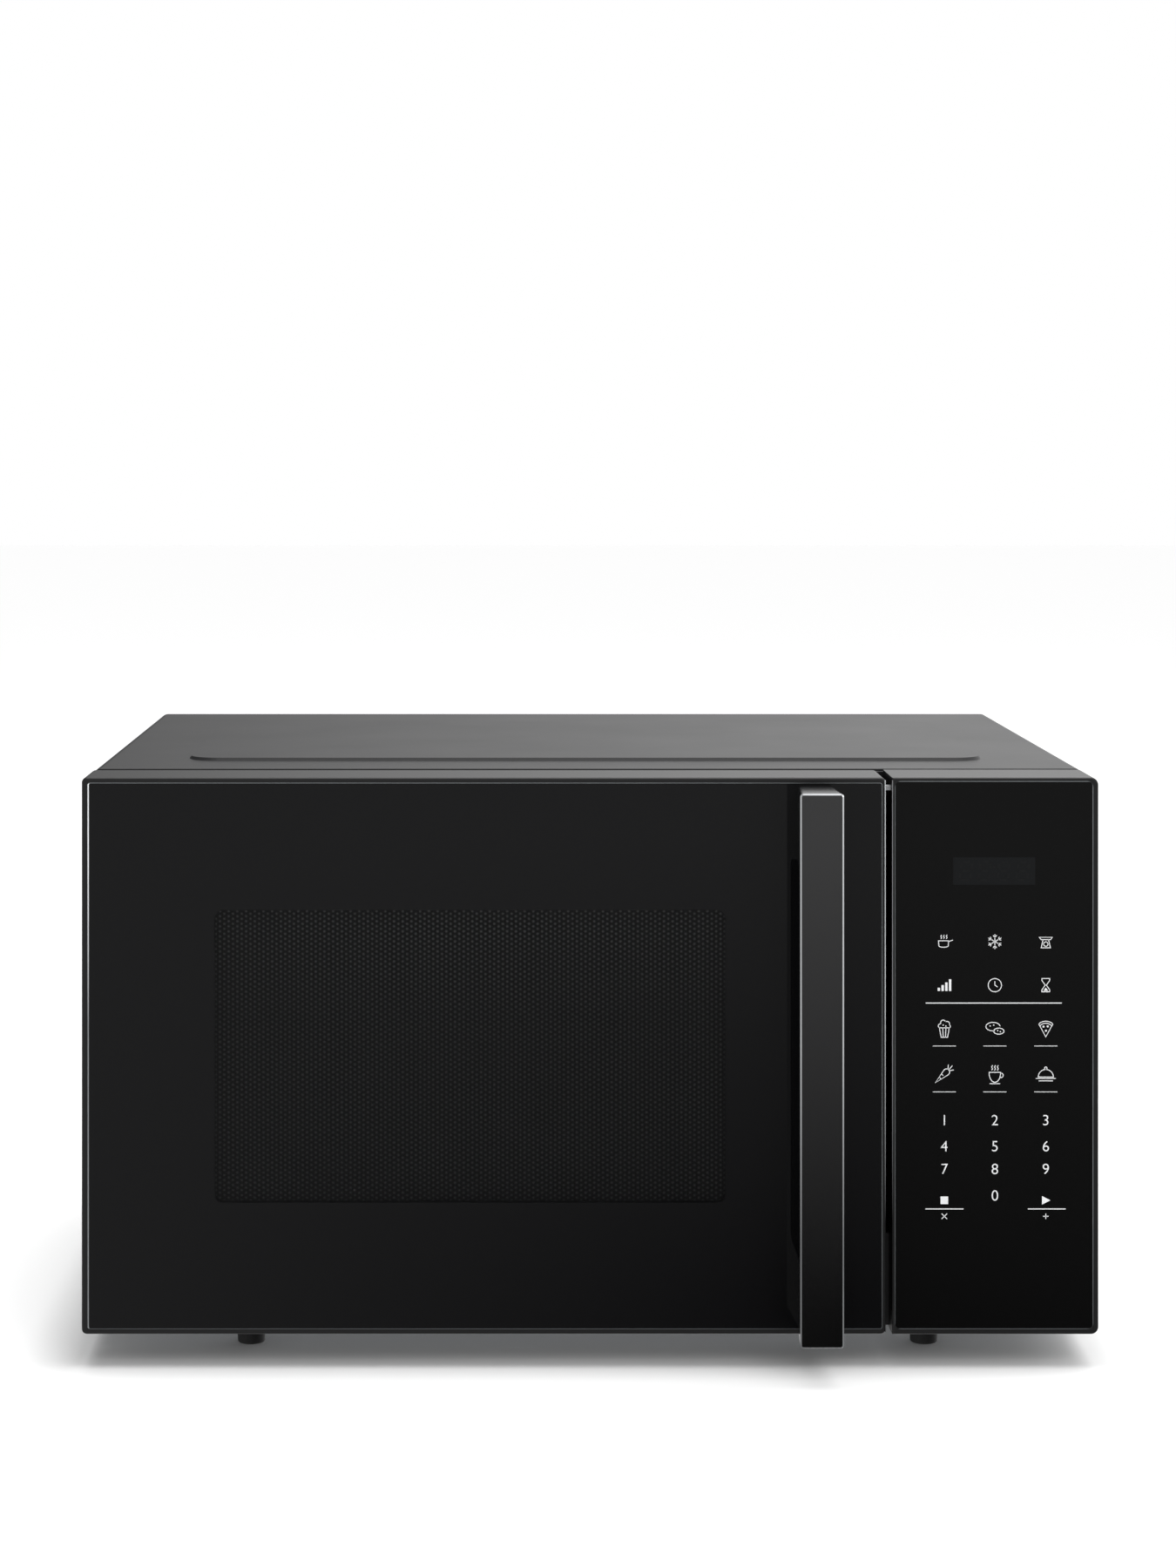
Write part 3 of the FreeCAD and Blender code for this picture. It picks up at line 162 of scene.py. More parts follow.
def makeSky():
    # white to the camera; to the object it is bright behind and above, and fades towards the ground in front
    world = bpy.data.worlds.new("studioSky")
    world.use_nodes = True
    tree = world.node_tree
    tree.nodes.clear()
    where = addNode(tree, "ShaderNodeTexCoord")
    ways = addNode(tree, "ShaderNodeSeparateXYZ", links={0: where.outputs["Generated"]}).outputs
    shares = {}
    for name, (axis, low, high, first, last) in sky["fades"].items():
        limits = {"From Min": low, "From Max": high, "To Min": first, "To Max": last}
        shares[name] = addNode(tree, "ShaderNodeMapRange", limits, {0: ways[axis]})
    most = addNode(tree, "ShaderNodeMath", {"operation": "MAXIMUM"},
                   {0: shares["behind"], 1: shares["above"]})
    back = addNode(tree, "ShaderNodeMath", {"operation": "MULTIPLY", 1: sky["bright"]}, {0: shares["back"]})
    front = addNode(tree, "ShaderNodeMix", {3: sky["front"]}, {0: shares["rise"], 2: shares["ground"]})
    level = addNode(tree, "ShaderNodeMix", links={0: most, 2: front, 3: back})
    seen = addNode(tree, "ShaderNodeLightPath").outputs["Is Camera Ray"]
    white = addNode(tree, "ShaderNodeBackground", {"Color": linear("FFFFFF"), "Strength": 1.0})
    lit = addNode(tree, "ShaderNodeBackground", {"Color": linear("FFFFFF")}, {"Strength": level})
    mixed = addNode(tree, "ShaderNodeMixShader", links={0: seen, 1: lit, 2: white})
    addNode(tree, "ShaderNodeOutputWorld", links={"Surface": mixed})
    scene.world = world


def makeLamp(name, power, size, place, aim, reflects):
    data = bpy.data.lights.new(name, "AREA")
    data.energy = power
    data.size = size
    lamp = bpy.data.objects.new(name, data)
    lamp.location = place
    lamp.rotation_euler = (Vector(aim) - Vector(place)).to_track_quat("-Z", "Y").to_euler()
    lamp.visible_camera = False
    lamp.visible_glossy = reflects
    scene.collection.objects.link(lamp)


def makeFloor():
    built = bmesh.new()
    side, front, back = floorLook["reach"]
    ends = ((-side, -front), (side, -front), (side, back), (-side, back))
    built.faces.new([built.verts.new((x, y, 0)) for x, y in ends])
    mesh = meshFrom("floor", built)
    floor = bpy.data.objects.new("floor", mesh)
    scene.collection.objects.link(floor)
    material, tree, shader, reach = newFinish("paleFloor", floorLook["colour"], roughness=0.9, specular=0.0)
    shader.inputs["Emission Color"].default_value = linear("FFFFFF")
    # how far a point is from the painted shadow patch round the oven: the floor glows less inside it, which
    # paints its shadow darker
    for step in ({"operation": "SUBTRACT", 1: (0, floorLook["paintedShadowBack"], 0)}, {"operation": "ABSOLUTE"},
                 {"operation": "SUBTRACT", 1: floorLook["paintedShadowSize"]}, {"operation": "MAXIMUM", 1: (0, 0, 0)},
                 {"operation": "LENGTH"}):
        reach = addNode(tree, "ShaderNodeVectorMath", step, {0: reach})
    glow = addNode(tree, "ShaderNodeMapRange", {
        "From Max": floorLook["glowReach"], "To Min": floorLook["glow"], "To Max": floorLook["glowFar"]},
        {0: reach.outputs["Value"]})
    tree.links.new(glow.outputs[0], shader.inputs["Emission Strength"])
    mesh.materials.append(material)
    floor.visible_glossy = False


makeCamera()
makeSky()
makeFloor()
for name, look in lamps.items():
    makeLamp(name, *look)
lampX, lampY = (trayLow.x + trayHigh.x) / 2, cavityLamp["back"]
makeLamp("cavityLight", cavityLamp["power"], cavityLamp["size"],
         (lampX, lampY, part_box("cavity_liner")[1].z - cavityLamp["below"]), (lampX, lampY, 0), False)
scene.view_settings.view_transform = "Standard"
print("camera, floor and light ready")


def dress(tree, shader, colour=None, roughness=None, relief=None):
    # uneven tone, uneven gloss and fine relief; each takes a pattern and its two ends, or its depth
    if colour:
        pattern, first, second = colour
        ends = {"data_type": "RGBA", 6: linear(first), 7: linear(second)}
        tone = addNode(tree, "ShaderNodeMix", ends, {0: pattern})
        tree.links.new(tone.outputs[2], shader.inputs["Base Color"])
    if roughness:
        pattern, low, high = roughness
        gloss = addNode(tree, "ShaderNodeMapRange", {"To Min": low, "To Max": high}, {0: pattern})
        tree.links.new(gloss.outputs[0], shader.inputs["Roughness"])
    if relief:
        pattern, depth = relief
        bump = addNode(tree, "ShaderNodeBump", {"Distance": depth}, {"Height": pattern})
        tree.links.new(bump.outputs[0], shader.inputs["Normal"])


# the noise patterns of the finishes: the size of a patch, and the detail in it
noises = {name: {"Scale": 1 / size, "Detail": detail} for name, size, detail in (
    ("coatTone", 60 * mm, 2.0), ("plasticTone", 35 * mm, 2.0), ("rollingLines", 0.6 * mm, 2.0),
    ("drawnLines", 0.5 * mm, 3.0), ("smears", 90 * mm, 2.0), ("glassRipple", 40 * mm, 1.0),
    ("filmRipple", 50 * mm, 1.0), ("dullPatches", 4 * mm, 2.0), ("clouds", 45 * mm, 2.0),
    ("inkGrain", 0.3 * mm, 2.0), ("lacquerFlake", 0.5 * mm, 2.0), ("cutMarks", 0.8 * mm, 2.0),
    ("groundGrain", 1.5 * mm, 2.0),
)}


def powderCoat(name, dark, light, grain, depth, rough):
    # baked powder paint on sheet steel: a fine orange peel and slightly uneven gloss
    material, tree, shader, where = newFinish(name, dark, ior=1.5)
    peel = addNode(tree, "ShaderNodeTexNoise", {"Scale": 1 / grain, "Detail": 3.0}, {0: where})
    broad = addNode(tree, "ShaderNodeTexNoise", noises["coatTone"], {0: where})
    dress(tree, shader, colour=(broad, dark, light), roughness=(broad, *rough), relief=(peel, depth))
    return material


def mouldedPlastic(name, dark, light, rough, grain=0.5 * mm, depth=0.01 * mm):
    # injection-moulded plastic: a fine spark-eroded grain from the tool
    material, tree, shader, where = newFinish(name, dark, ior=1.49)
    fine = addNode(tree, "ShaderNodeTexNoise", {"Scale": 1 / grain, "Detail": 2.0}, {0: where})
    broad = addNode(tree, "ShaderNodeTexNoise", noises["plasticTone"], {0: where})
    dress(tree, shader, colour=(broad, dark, light), roughness=(fine, *rough), relief=(fine, depth))
    return material


metalLook = {
    "crystals": 5 * mm,
    "rolled": (1, 0.03, 1),      # stretches the lines along a sheet
    "drawn": (1, 1, 0.05),       # and along a drawn or turned piece
}


def rolledSteel(name, dark, light, rough):
    # zinc-coated sheet: faint crystals a few millimetres across over rolling lines
    material, tree, shader, where = newFinish(name, light, metallic=1.0)
    crystals = addNode(tree, "ShaderNodeTexVoronoi", {"Scale": 1 / metalLook["crystals"]}, {0: where})
    drawn = addNode(tree, "ShaderNodeMapping", {"Scale": metalLook["rolled"]}, {0: where})
    lines = addNode(tree, "ShaderNodeTexNoise", noises["rollingLines"], {0: drawn})
    dress(tree, shader, colour=(crystals.outputs["Color"], dark, light), roughness=(lines, *rough),
          relief=(lines, 0.004 * mm))
    return material


def plainMetal(name, dark, light, rough):
    # drawn or turned metal: fine lines along the piece
    material, tree, shader, where = newFinish(name, light, metallic=1.0)
    drawn = addNode(tree, "ShaderNodeMapping", {"Scale": metalLook["drawn"]}, {0: where})
    lines = addNode(tree, "ShaderNodeTexNoise", noises["drawnLines"], {0: drawn})
    dress(tree, shader, colour=(lines, dark, light), roughness=(lines, *rough), relief=(lines, 0.003 * mm))
    return material


def roundedWindow(tree, where, left, right, bottom, top, radius, soft):
    # 1 inside a rounded rectangle in X and Z, 0 outside
    ways = addNode(tree, "ShaderNodeSeparateXYZ", links={0: where}).outputs
    reach = []
    for axis, low, high in (("X", left, right), ("Z", bottom, top)):
        past = ways[axis]
        for operation, value in (("SUBTRACT", (low + high) / 2), ("ABSOLUTE", 0),
                                 ("SUBTRACT", (high - low) / 2 - radius), ("MAXIMUM", 0)):
            past = addNode(tree, "ShaderNodeMath", {"operation": operation, 1: value}, {0: past})
        reach.append(past)
    corner = addNode(tree, "ShaderNodeCombineXYZ", links={0: reach[0], 1: reach[1]})
    length = addNode(tree, "ShaderNodeVectorMath", {"operation": "LENGTH"}, {0: corner})
    return addNode(tree, "ShaderNodeMapRange", {"From Min": radius + soft, "From Max": radius - soft},
                   {0: length.outputs["Value"]})


doorGlassLook = {
    "colour": "0B0B0C",
    "windowClear": 0.52,     # how much of the window's glass lets light through
    "windowInset": 5.7 * mm,  # the clear window ends just inside the door pan's opening
    "windowCorner": 4 * mm,
    "windowSoft": 0.3 * mm,
    "specular": 0.22,        # an antiglare coat keeps the room's reflection faint
}


def doorGlassFinish():
    # dark tinted soda-lime glass, painted black behind except at the window
    look = doorGlassLook
    material, tree, shader, where = newFinish("tintedDoorGlass", look["colour"], ior=1.5,
                                              specular=look["specular"])
    inset = look["windowInset"]
    inside = roundedWindow(tree, where, screenLow.x + inset, screenHigh.x - inset,
                           screenLow.z + inset, screenHigh.z - inset,
                           look["windowCorner"], look["windowSoft"])
    most = 1 - look["windowClear"]
    alpha = addNode(tree, "ShaderNodeMapRange", {"To Min": 1.0, "To Max": most}, {0: inside})
    tree.links.new(alpha.outputs[0], shader.inputs["Alpha"])
    smear = addNode(tree, "ShaderNodeTexNoise", noises["smears"], {0: where})
    dress(tree, shader, roughness=(smear, 0.03, 0.05))
    return material


panelGlassLook = {
    "colour": "0A0A0A",
    "windowColour": "131415",
    "windowSide": 4 * mm,    # in from the display's edges
    "windowBelow": 5.9 * mm,
    "windowAbove": 4.1 * mm,
    "windowCorner": 0.4 * mm,
    "windowSoft": 0.2 * mm,
    "specular": 0.12,
}


def panelGlassFinish():
    # clear glass printed black behind, with a smoky window for the display
    look = panelGlassLook
    material, tree, shader, where = newFinish("blackPanelGlass", look["colour"], ior=1.5,
                                              specular=look["specular"])
    inside = roundedWindow(tree, where, displayLow.x + look["windowSide"], displayHigh.x - look["windowSide"],
                           displayLow.z + look["windowBelow"], displayHigh.z - look["windowAbove"],
                           look["windowCorner"], look["windowSoft"])
    smear = addNode(tree, "ShaderNodeTexNoise", noises["smears"], {0: where})
    dress(tree, shader, colour=(inside, look["colour"], look["windowColour"]), roughness=(smear, 0.03, 0.05))
    return material


def clearGlass(name, tint, rough):
    # pressed soda-lime glass
    material, tree, shader, where = newFinish(name, tint, ior=1.5, transmission=1.0)
    ripple = addNode(tree, "ShaderNodeTexNoise", noises["glassRipple"], {0: where})
    dress(tree, shader, roughness=(ripple, rough, rough + 0.03), relief=(ripple, 0.05 * mm))
    return material


def clearFilm(name, tint, alpha):
    # thin polyester or styrene sheet: see-through, with a soft reflection
    material, tree, shader, where = newFinish(name, tint, ior=1.57, alpha=alpha)
    ripple = addNode(tree, "ShaderNodeTexNoise", noises["filmRipple"], {0: where})
    dress(tree, shader, roughness=(ripple, 0.12, 0.2))
    return material


bandFactor = 20    # the wave pattern's own multiplier


def layered(name, metallic, axis, spacing, colours, rough, depth):
    # sheets or turns of wire: even lines, much coarser than real ones so that they show
    material, tree, shader, where = newFinish(name, colours[0], metallic=metallic)
    bands = {"bands_direction": axis, "Scale": 1 / spacing / bandFactor}
    lines = addNode(tree, "ShaderNodeTexWave", bands, {0: where}).outputs["Color"]
    dress(tree, shader, colour=(lines, *colours[1:]), roughness=(lines, *rough), relief=(lines, depth))
    return material


def circuitBoard():
    # green solder mask over copper tracks about 1 mm wide
    material, tree, shader, where = newFinish("solderMask", "1F4A2A", ior=1.55)
    tracks = addNode(tree, "ShaderNodeTexBrick", {"Scale": 60.0, "Mortar Size": 0.03}, {0: where})
    dull = addNode(tree, "ShaderNodeTexNoise", noises["dullPatches"], {0: where})
    dress(tree, shader, colour=(tracks.outputs["Fac"], "1B4326", "3B7A45"), roughness=(dull, 0.3, 0.45))
    return material


finishes = {
    "casePaint": powderCoat("blackPowderCoat", "141415", "18181A", 0.9 * mm, 0.012 * mm, (0.40, 0.46)),
    "frontPaint": powderCoat("blackBodyPaint", "101011", "141416", 0.8 * mm, 0.008 * mm, (0.30, 0.36)),
    "chokePaint": powderCoat("doorPanPaint", "0B0B0C", "0E0E10", 0.7 * mm, 0.008 * mm, (0.45, 0.52)),
    "enamel": powderCoat("greyCavityEnamel", "A9AAA6", "B8B9B4", 1.1 * mm, 0.02 * mm, (0.28, 0.36)),
    "sheetSteel": rolledSteel("zincCoatedSheet", "94979A", "A9ACAF", (0.32, 0.5)),
    "platedSteel": plainMetal("platedSteel", "8A8D90", "B9BCC0", (0.22, 0.38)),
    "aluminium": plainMetal("bareAluminium", "AEB1B4", "D2D4D6", (0.25, 0.4)),
    "copper": plainMetal("copperAnode", "9A5A34", "C98258", (0.25, 0.38)),
    "frameAbs": mouldedPlastic("satinBlackAbs", "0A0A0B", "0D0D0E", (0.34, 0.40), 0.9 * mm, 0.006 * mm),
    "glossAbs": mouldedPlastic("glossBlackAbs", "0A0A0B", "0D0D0E", (0.16, 0.22), 1.2 * mm, 0.004 * mm),
    # the screen is lighter than the door pan's same black paint: a painted reflection, standing in for the
    # glass reflection that the window's see-through alpha takes away
    "screenPaintLightened": powderCoat("screenPaintLightened", "242425", "2B2B2C", 0.7 * mm, 0.008 * mm, (0.45, 0.52)),
    "matteBlack": mouldedPlastic("matteBlackPolypropylene", "121213", "171718", (0.45, 0.58)),
    "naturalPlastic": mouldedPlastic("naturalAcetal", "C9C8BF", "D8D7CF", (0.35, 0.48)),
    "greyPlastic": mouldedPlastic("greyNylon", "A4A6A8", "B4B6B8", (0.38, 0.5)),
    "footRubber": mouldedPlastic("footRubber", "0D0D0E", "131314", (0.6, 0.75), 0.8 * mm, 0.03 * mm),
    "laminations": layered("varnishedLaminations", 0.7, "Y", 1.5 * mm, ("3A3B3E", "26272A", "56585C"),
                           (0.35, 0.6), 0.1 * mm),
    "winding": layered("enamelledCopper", 1.0, "Z", 1.0 * mm, ("B0683A", "6E3313", "C97B45"),
                       (0.25, 0.4), 0.3 * mm),
    "board": circuitBoard(),
    "mica": mouldedPlastic("pressedMica", "A9986C", "CDBE93", (0.35, 0.6), 2.5 * mm, 0.02 * mm),
    "ceramic": mouldedPlastic("fuseCeramic", "D6D2C6", "E6E3DA", (0.15, 0.25)),
    "doorGlass": doorGlassFinish(),
    "panelGlass": panelGlassFinish(),
    "trayGlass": clearGlass("pressedTrayGlass", "E9F2F0", 0.02),
    "lampGlass": clearGlass("lampGlass", "FBF8EE", 0.05),
    "film": clearFilm("clearFilm", "8A9090", 0.35),
    "innerFilm": clearFilm("innerDoorSheet", "3A3C3C", 0.30),
    "display": mouldedPlastic("displayFilter", "0C0D0E", "111314", (0.1, 0.16)),
}

nodeFinishes = {
    "casePaint": ["outer_case"],
    "frontPaint": ["front_plate"],
    "enamel": ["cavity_liner"],
    "chokePaint": ["door_choke_panel"],
    "screenPaintLightened": ["door_screen"],
    "sheetSteel": ["base_plate", "back_plate", "motor_access_cover", "waveguide", "magnetron_yoke",
                   "magnetron_filter_box", "turntable_motor"],
    "platedSteel": ["hinge_brackets", "case_screws", "handle_screws", "capacitor_clamp", "hook_spring"],
    "aluminium": ["magnetron_fins", "high_voltage_capacitor"],
    "copper": ["magnetron_core"],
    "frameAbs": ["door_frame", "control_panel_bezel"],
    "glossAbs": ["door_handle"],
    "matteBlack": ["cord_gland", "high_voltage_diode", "choke_cover", "interlock_switches", "thermal_cutouts",
                   "board_components"],
    "naturalPlastic": ["fan_blade", "turntable_coupler", "roller_ring", "roller_wheel_1", "roller_wheel_2",
                       "roller_wheel_3", "latch_board", "latch_hooks", "hinge_bushes"],
    "greyPlastic": ["fan_shroud", "air_duct", "lower_switch_button", "middle_switch_button",
                    "upper_switch_button", "door_bumper"],
    "footRubber": ["front_feet", "rear_feet"],
    "laminations": ["transformer_core", "fan_motor"],
    "winding": ["transformer_windings"],
    "board": ["control_board", "filter_board"],
    "mica": ["waveguide_cover"],
    "ceramic": ["fuse_link"],
    "doorGlass": ["door_glass"],
    "panelGlass": ["control_panel_glass"],
    "trayGlass": ["glass_tray"],
    "lampGlass": ["oven_lamp"],
    "film": ["touch_keypad_film"],
    "innerFilm": ["door_inner_sheet"],
    "display": ["display_module"],
}
for finish, names in nodeFinishes.items():
    for name in names:
        materials = nodes[name].data.materials
        materials.clear()
        materials.append(finishes[finish])
print("finishes set on", sum(len(names) for names in nodeFinishes.values()), "nodes")


def addPiece(name, mesh, finish, body):
    piece = bpy.data.objects.new(name, mesh)
    scene.collection.objects.link(piece)
    for material in finish if isinstance(finish, list) else [finish]:
        mesh.materials.append(material)
    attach(piece, body)
    return piece


screen = {
    "pitch": 2.40 * mm,      # between hole centres
    "hole": 1.15 * mm,       # across the flats
    "overlap": 1.2 * mm,     # how far the holes run on behind the door pan's opening
    "halves": 2,
    "border": 5 * mm,        # the sheet's plain edge behind the door pan
    "joined": 0.02 * mm,     # corners nearer than this become one
}


def perforatedTree():
    # hexagonal tiles, each with a hexagonal hole, joined to one sheet of real thickness
    tree = bpy.data.node_groups.new("perforatedSheet", "GeometryNodeTree")
    tree.interface.new_socket("Geometry", in_out="OUTPUT", socket_type="NodeSocketGeometry")
    for name, kind in (("Columns", "Int"), ("Rows", "Int"), ("Pitch", "Float"), ("Hole", "Float"),
                       ("Thickness", "Float"), ("Middle", "Vector"), ("Paint", "Material")):
        tree.interface.new_socket(name, in_out="INPUT", socket_type="NodeSocket" + kind)
    given = addNode(tree, "NodeGroupInput").outputs

    times = {"operation": "MULTIPLY"}
    corner = addNode(tree, "ShaderNodeMath", {**times, 1: 1 / math.sqrt(3)}, {0: given["Pitch"]})
    tile = addNode(tree, "GeometryNodeMeshCircle", {"fill_type": "NGON", "Vertices": 6}, {"Radius": corner})
    lifted = addNode(tree, "GeometryNodeExtrudeMesh", {"Offset Scale": 0.0, "Individual": False}, {0: tile})
    share = addNode(tree, "ShaderNodeMath", {"operation": "DIVIDE"}, {0: given["Hole"], 1: given["Pitch"]})
    shrunk = addNode(tree, "GeometryNodeScaleElements", links={
        "Geometry": lifted.outputs["Mesh"], "Selection": lifted.outputs["Top"], "Scale": share})
    cell = addNode(tree, "GeometryNodeDeleteGeometry", {"domain": "FACE"}, {
        "Geometry": shrunk, "Selection": lifted.outputs["Top"]})

    # a grid of points, every other column half a pitch lower
    across = addNode(tree, "ShaderNodeMath", {**times, 1: math.sqrt(3) / 2}, {0: given["Pitch"]})
    less = {"operation": "SUBTRACT", 1: 1.0}
    lastColumn = addNode(tree, "ShaderNodeMath", less, {0: given["Columns"]})
    lastRow = addNode(tree, "ShaderNodeMath", less, {0: given["Rows"]})
    width = addNode(tree, "ShaderNodeMath", times, {0: lastColumn, 1: across})
    height = addNode(tree, "ShaderNodeMath", times, {0: lastRow, 1: given["Pitch"]})
    grid = addNode(tree, "GeometryNodeMeshGrid", links={
        "Size X": width, "Size Y": height,
        "Vertices X": given["Columns"], "Vertices Y": given["Rows"]})
    number = addNode(tree, "GeometryNodeInputIndex")
    passed = addNode(tree, "ShaderNodeMath", {"operation": "DIVIDE"}, {0: number, 1: given["Rows"]})
    column = addNode(tree, "ShaderNodeMath", {"operation": "FLOOR"}, {0: passed})
    odd = addNode(tree, "ShaderNodeMath", {"operation": "MODULO", 1: 2.0}, {0: column})
    lower = addNode(tree, "ShaderNodeMath", times, {0: odd, 1: given["Pitch"]})
    drop = addNode(tree, "ShaderNodeMath", {**times, 1: -0.5}, {0: lower})
    offset = addNode(tree, "ShaderNodeCombineXYZ", links={"Y": drop})
    points = addNode(tree, "GeometryNodeSetPosition", links={"Geometry": grid, "Offset": offset})

    copies = addNode(tree, "GeometryNodeInstanceOnPoints", links={"Points": points, "Instance": cell})
    real = addNode(tree, "GeometryNodeRealizeInstances", links={0: copies})
    face = addNode(tree, "GeometryNodeMergeByDistance", {"Distance": screen["joined"]}, {0: real})
    thick = addNode(tree, "GeometryNodeExtrudeMesh", {"Individual": False}, {
        "Mesh": face, "Offset Scale": given["Thickness"]})
    back = addNode(tree, "GeometryNodeFlipFaces", links={0: face})
    both = addNode(tree, "GeometryNodeJoinGeometry")
    tree.links.new(back.outputs[0], both.inputs[0])
    tree.links.new(thick.outputs["Mesh"], both.inputs[0])
    closed = addNode(tree, "GeometryNodeMergeByDistance", {"Distance": screen["joined"]}, {0: both})
    upright = addNode(tree, "GeometryNodeTransform", {"Rotation": (math.pi / 2, 0, 0)}, {
        "Geometry": closed, "Translation": given["Middle"]})
    loose = addNode(tree, "GeometryNodeRealizeInstances", links={0: upright})
    painted = addNode(tree, "GeometryNodeSetMaterial", links={"Geometry": loose, "Material": given["Paint"]})
    addNode(tree, "NodeGroupOutput", links={"Geometry": painted})
    return tree


def meshFromTree(name, tree, values):
    # runs a node tree on an empty mesh and keeps the result as a plain mesh
    carrier = bpy.data.objects.new(name, bpy.data.meshes.new(name + "Base"))
    scene.collection.objects.link(carrier)
    modifier = carrier.modifiers.new("made", "NODES")
    modifier.node_group = tree
    for item in tree.interface.items_tree:
        if item.in_out == "INPUT" and item.name in values:
            modifier[item.identifier] = values[item.name]
    bpy.context.view_layer.update()
    mesh = bpy.data.meshes.new_from_object(carrier.evaluated_get(bpy.context.evaluated_depsgraph_get()))
    carrier.modifiers.clear()
    bpy.data.objects.remove(carrier)
    mesh.name = name
    mesh.materials.clear()
    return mesh


def makeScreen():
    tree = perforatedTree()
    across = screen["pitch"] * math.sqrt(3) / 2
    inset = screen["border"] - screen["overlap"]
    left, right = screenLow.x + inset, screenHigh.x - inset
    bottom, top = screenLow.z + inset, screenHigh.z - inset
    rows = round((top - bottom) / screen["pitch"])
    columns = 2 * round((right - left) / across / screen["halves"] / 2)
    for half in range(screen["halves"]):
        middle = (left + right) / 2 + (half - (screen["halves"] - 1) / 2) * columns * across
        name = f"windowScreen{half + 1}"
        mesh = meshFromTree(name, tree, {
            "Columns": columns, "Rows": rows, "Pitch": screen["pitch"], "Hole": screen["hole"],
            "Thickness": screenHigh.y - screenLow.y, "Paint": finishes["screenPaintLightened"],
            "Middle": (middle, screenHigh.y, (bottom + top) / 2 + screen["pitch"] / 4)})
        sheet = addPiece(name, mesh, finishes["screenPaintLightened"], "door")
        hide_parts("door_screen")
    print("window screen:", rows * columns * screen["halves"], "holes")


def bevel(built, edges, offset, segments, **more):
    bmesh.ops.bevel(built, geom=edges, offset=offset, segments=segments, affect="EDGES", profile=0.5, **more)


def boxMesh(name, low, high, rounding=0.0):
    # a plate with its edges rounded
    built = bmesh.new()
    bmesh.ops.create_cube(built, size=1)
    size = Vector(high) - Vector(low)
    middle = (Vector(high) + Vector(low)) / 2
    placed = Matrix.Translation(middle) @ Matrix.Diagonal(size).to_4x4()
    bmesh.ops.transform(built, verts=built.verts, matrix=placed)
    if rounding:
        bevel(built, list(built.edges), rounding, 2)
    return meshFrom(name, built)


def fadeDown(tree, where, low, high):
    # 0 below one height, 1 above another: painted light, so that edges and films are painted darker towards
    #                                      the ground
    height = addNode(tree, "ShaderNodeSeparateXYZ", links={0: where}).outputs["Z"]
    return addNode(tree, "ShaderNodeMapRange", {"From Min": low, "From Max": high}, {0: height})


# a pale sheet behind the window's holes: painted light for the lit cavity seen through them
paintedLightSheet = {
    "behind": 0.15 * mm,     # gap between the sheet and the film
    "thickness": 0.15 * mm,
    "colour": ("9FA09E", "D6D7D5"),
    "paintedLightHeights": (165 * mm, 215 * mm),   # heights between which it is painted paler, as if lit more from above: painted light
    "alpha": 0.64,
    "inset": 1 * mm,         # from the sheet's outline
}


def hazeFilm():
    # a pale, part-clear sheet laid behind the holes: painted light standing in for the lit cavity seen through
    # them, painted paler towards the top where light falls from above
    material, tree, shader, where = newFinish("paintedInteriorLight", ior=1.57, alpha=paintedLightSheet["alpha"])
    cloud = addNode(tree, "ShaderNodeTexNoise", noises["clouds"], {0: where})
    dress(tree, shader, colour=(fadeDown(tree, where, *paintedLightSheet["paintedLightHeights"]), *paintedLightSheet["colour"]),
          roughness=(cloud, 0.5, 0.65))
    return material


def makeHaze():
    inset, front = paintedLightSheet["inset"], screenHigh.y + paintedLightSheet["behind"]
    low = (screenLow.x + inset, front, screenLow.z + inset)
    high = (screenHigh.x - inset, front + paintedLightSheet["thickness"], screenHigh.z - inset)
    addPiece("paintedInteriorLightSheet", boxMesh("paintedInteriorLightSheet", low, high), hazeFilm(), "door")


makeScreen()
makeHaze()


# printing on the panel glass: places are measured from the glass's lower left corner

printing = {
    "proud": 0.04 * mm,
    "stroke": 0.36 * mm,
    "leastMitre": 0.6,       # keeps a stroke's corners from running out
    "digitHeight": 5.2 * mm,
    "digitShare": 0.72,      # a numeral's height over the letter size
    "digitThinner": -0.04 * mm,
    "joined": 0.001 * mm,
    "columns": (23.5 * mm, 47.5 * mm, 71.7 * mm),
    "keyRows": (184.1 * mm, 163.4 * mm),
    "keySize": 3.7 * mm,
    "ruleRow": 154.9 * mm,
    "ruleEnds": (14.6 * mm, 79.3 * mm),
    "ruleWidth": 0.45 * mm,
    "foodRows": (142.9 * mm, 121.1 * mm),
    "foodSize": 4.5 * mm,
    "captionDrop": 8.4 * mm,
    "captionHalf": 5.5 * mm,
    "captionWidth": 0.28 * mm,
    "digitRows": (99.3 * mm, 86.9 * mm, 76.1 * mm, 63.5 * mm),
    "goRow": 61.2 * mm,
    "goRule": 57.1 * mm,
    "goEnds": ((14.5 * mm, 32.6 * mm), (63.2 * mm, 81.1 * mm)),
    "goNote": 53.6 * mm,
    "goHalf": 1.8 * mm,
    "goTall": 2.0 * mm,
    "goPoint": 2.2 * mm,
    "noteArm": 1.3 * mm,
    "ink": ("D6D7D8", "EAEBEC"),
}


def screenInk(name, first, second):
    # ceramic ink screen-printed on glass: flat, slightly chalky
    material, tree, shader, where = newFinish(name, ior=1.5, specular=0.2)
    grain = addNode(tree, "ShaderNodeTexNoise", noises["inkGrain"], {0: where})
    dress(tree, shader, colour=(grain, first, second), roughness=(grain, 0.5, 0.65))
    return material


def arc(x, z, radiusX, radiusZ, start, end, steps):
    turns = [math.radians(start + (end - start) * step / steps) for step in range(steps + 1)]
    return [(x + radiusX * math.cos(turn), z + radiusZ * math.sin(turn)) for turn in turns]


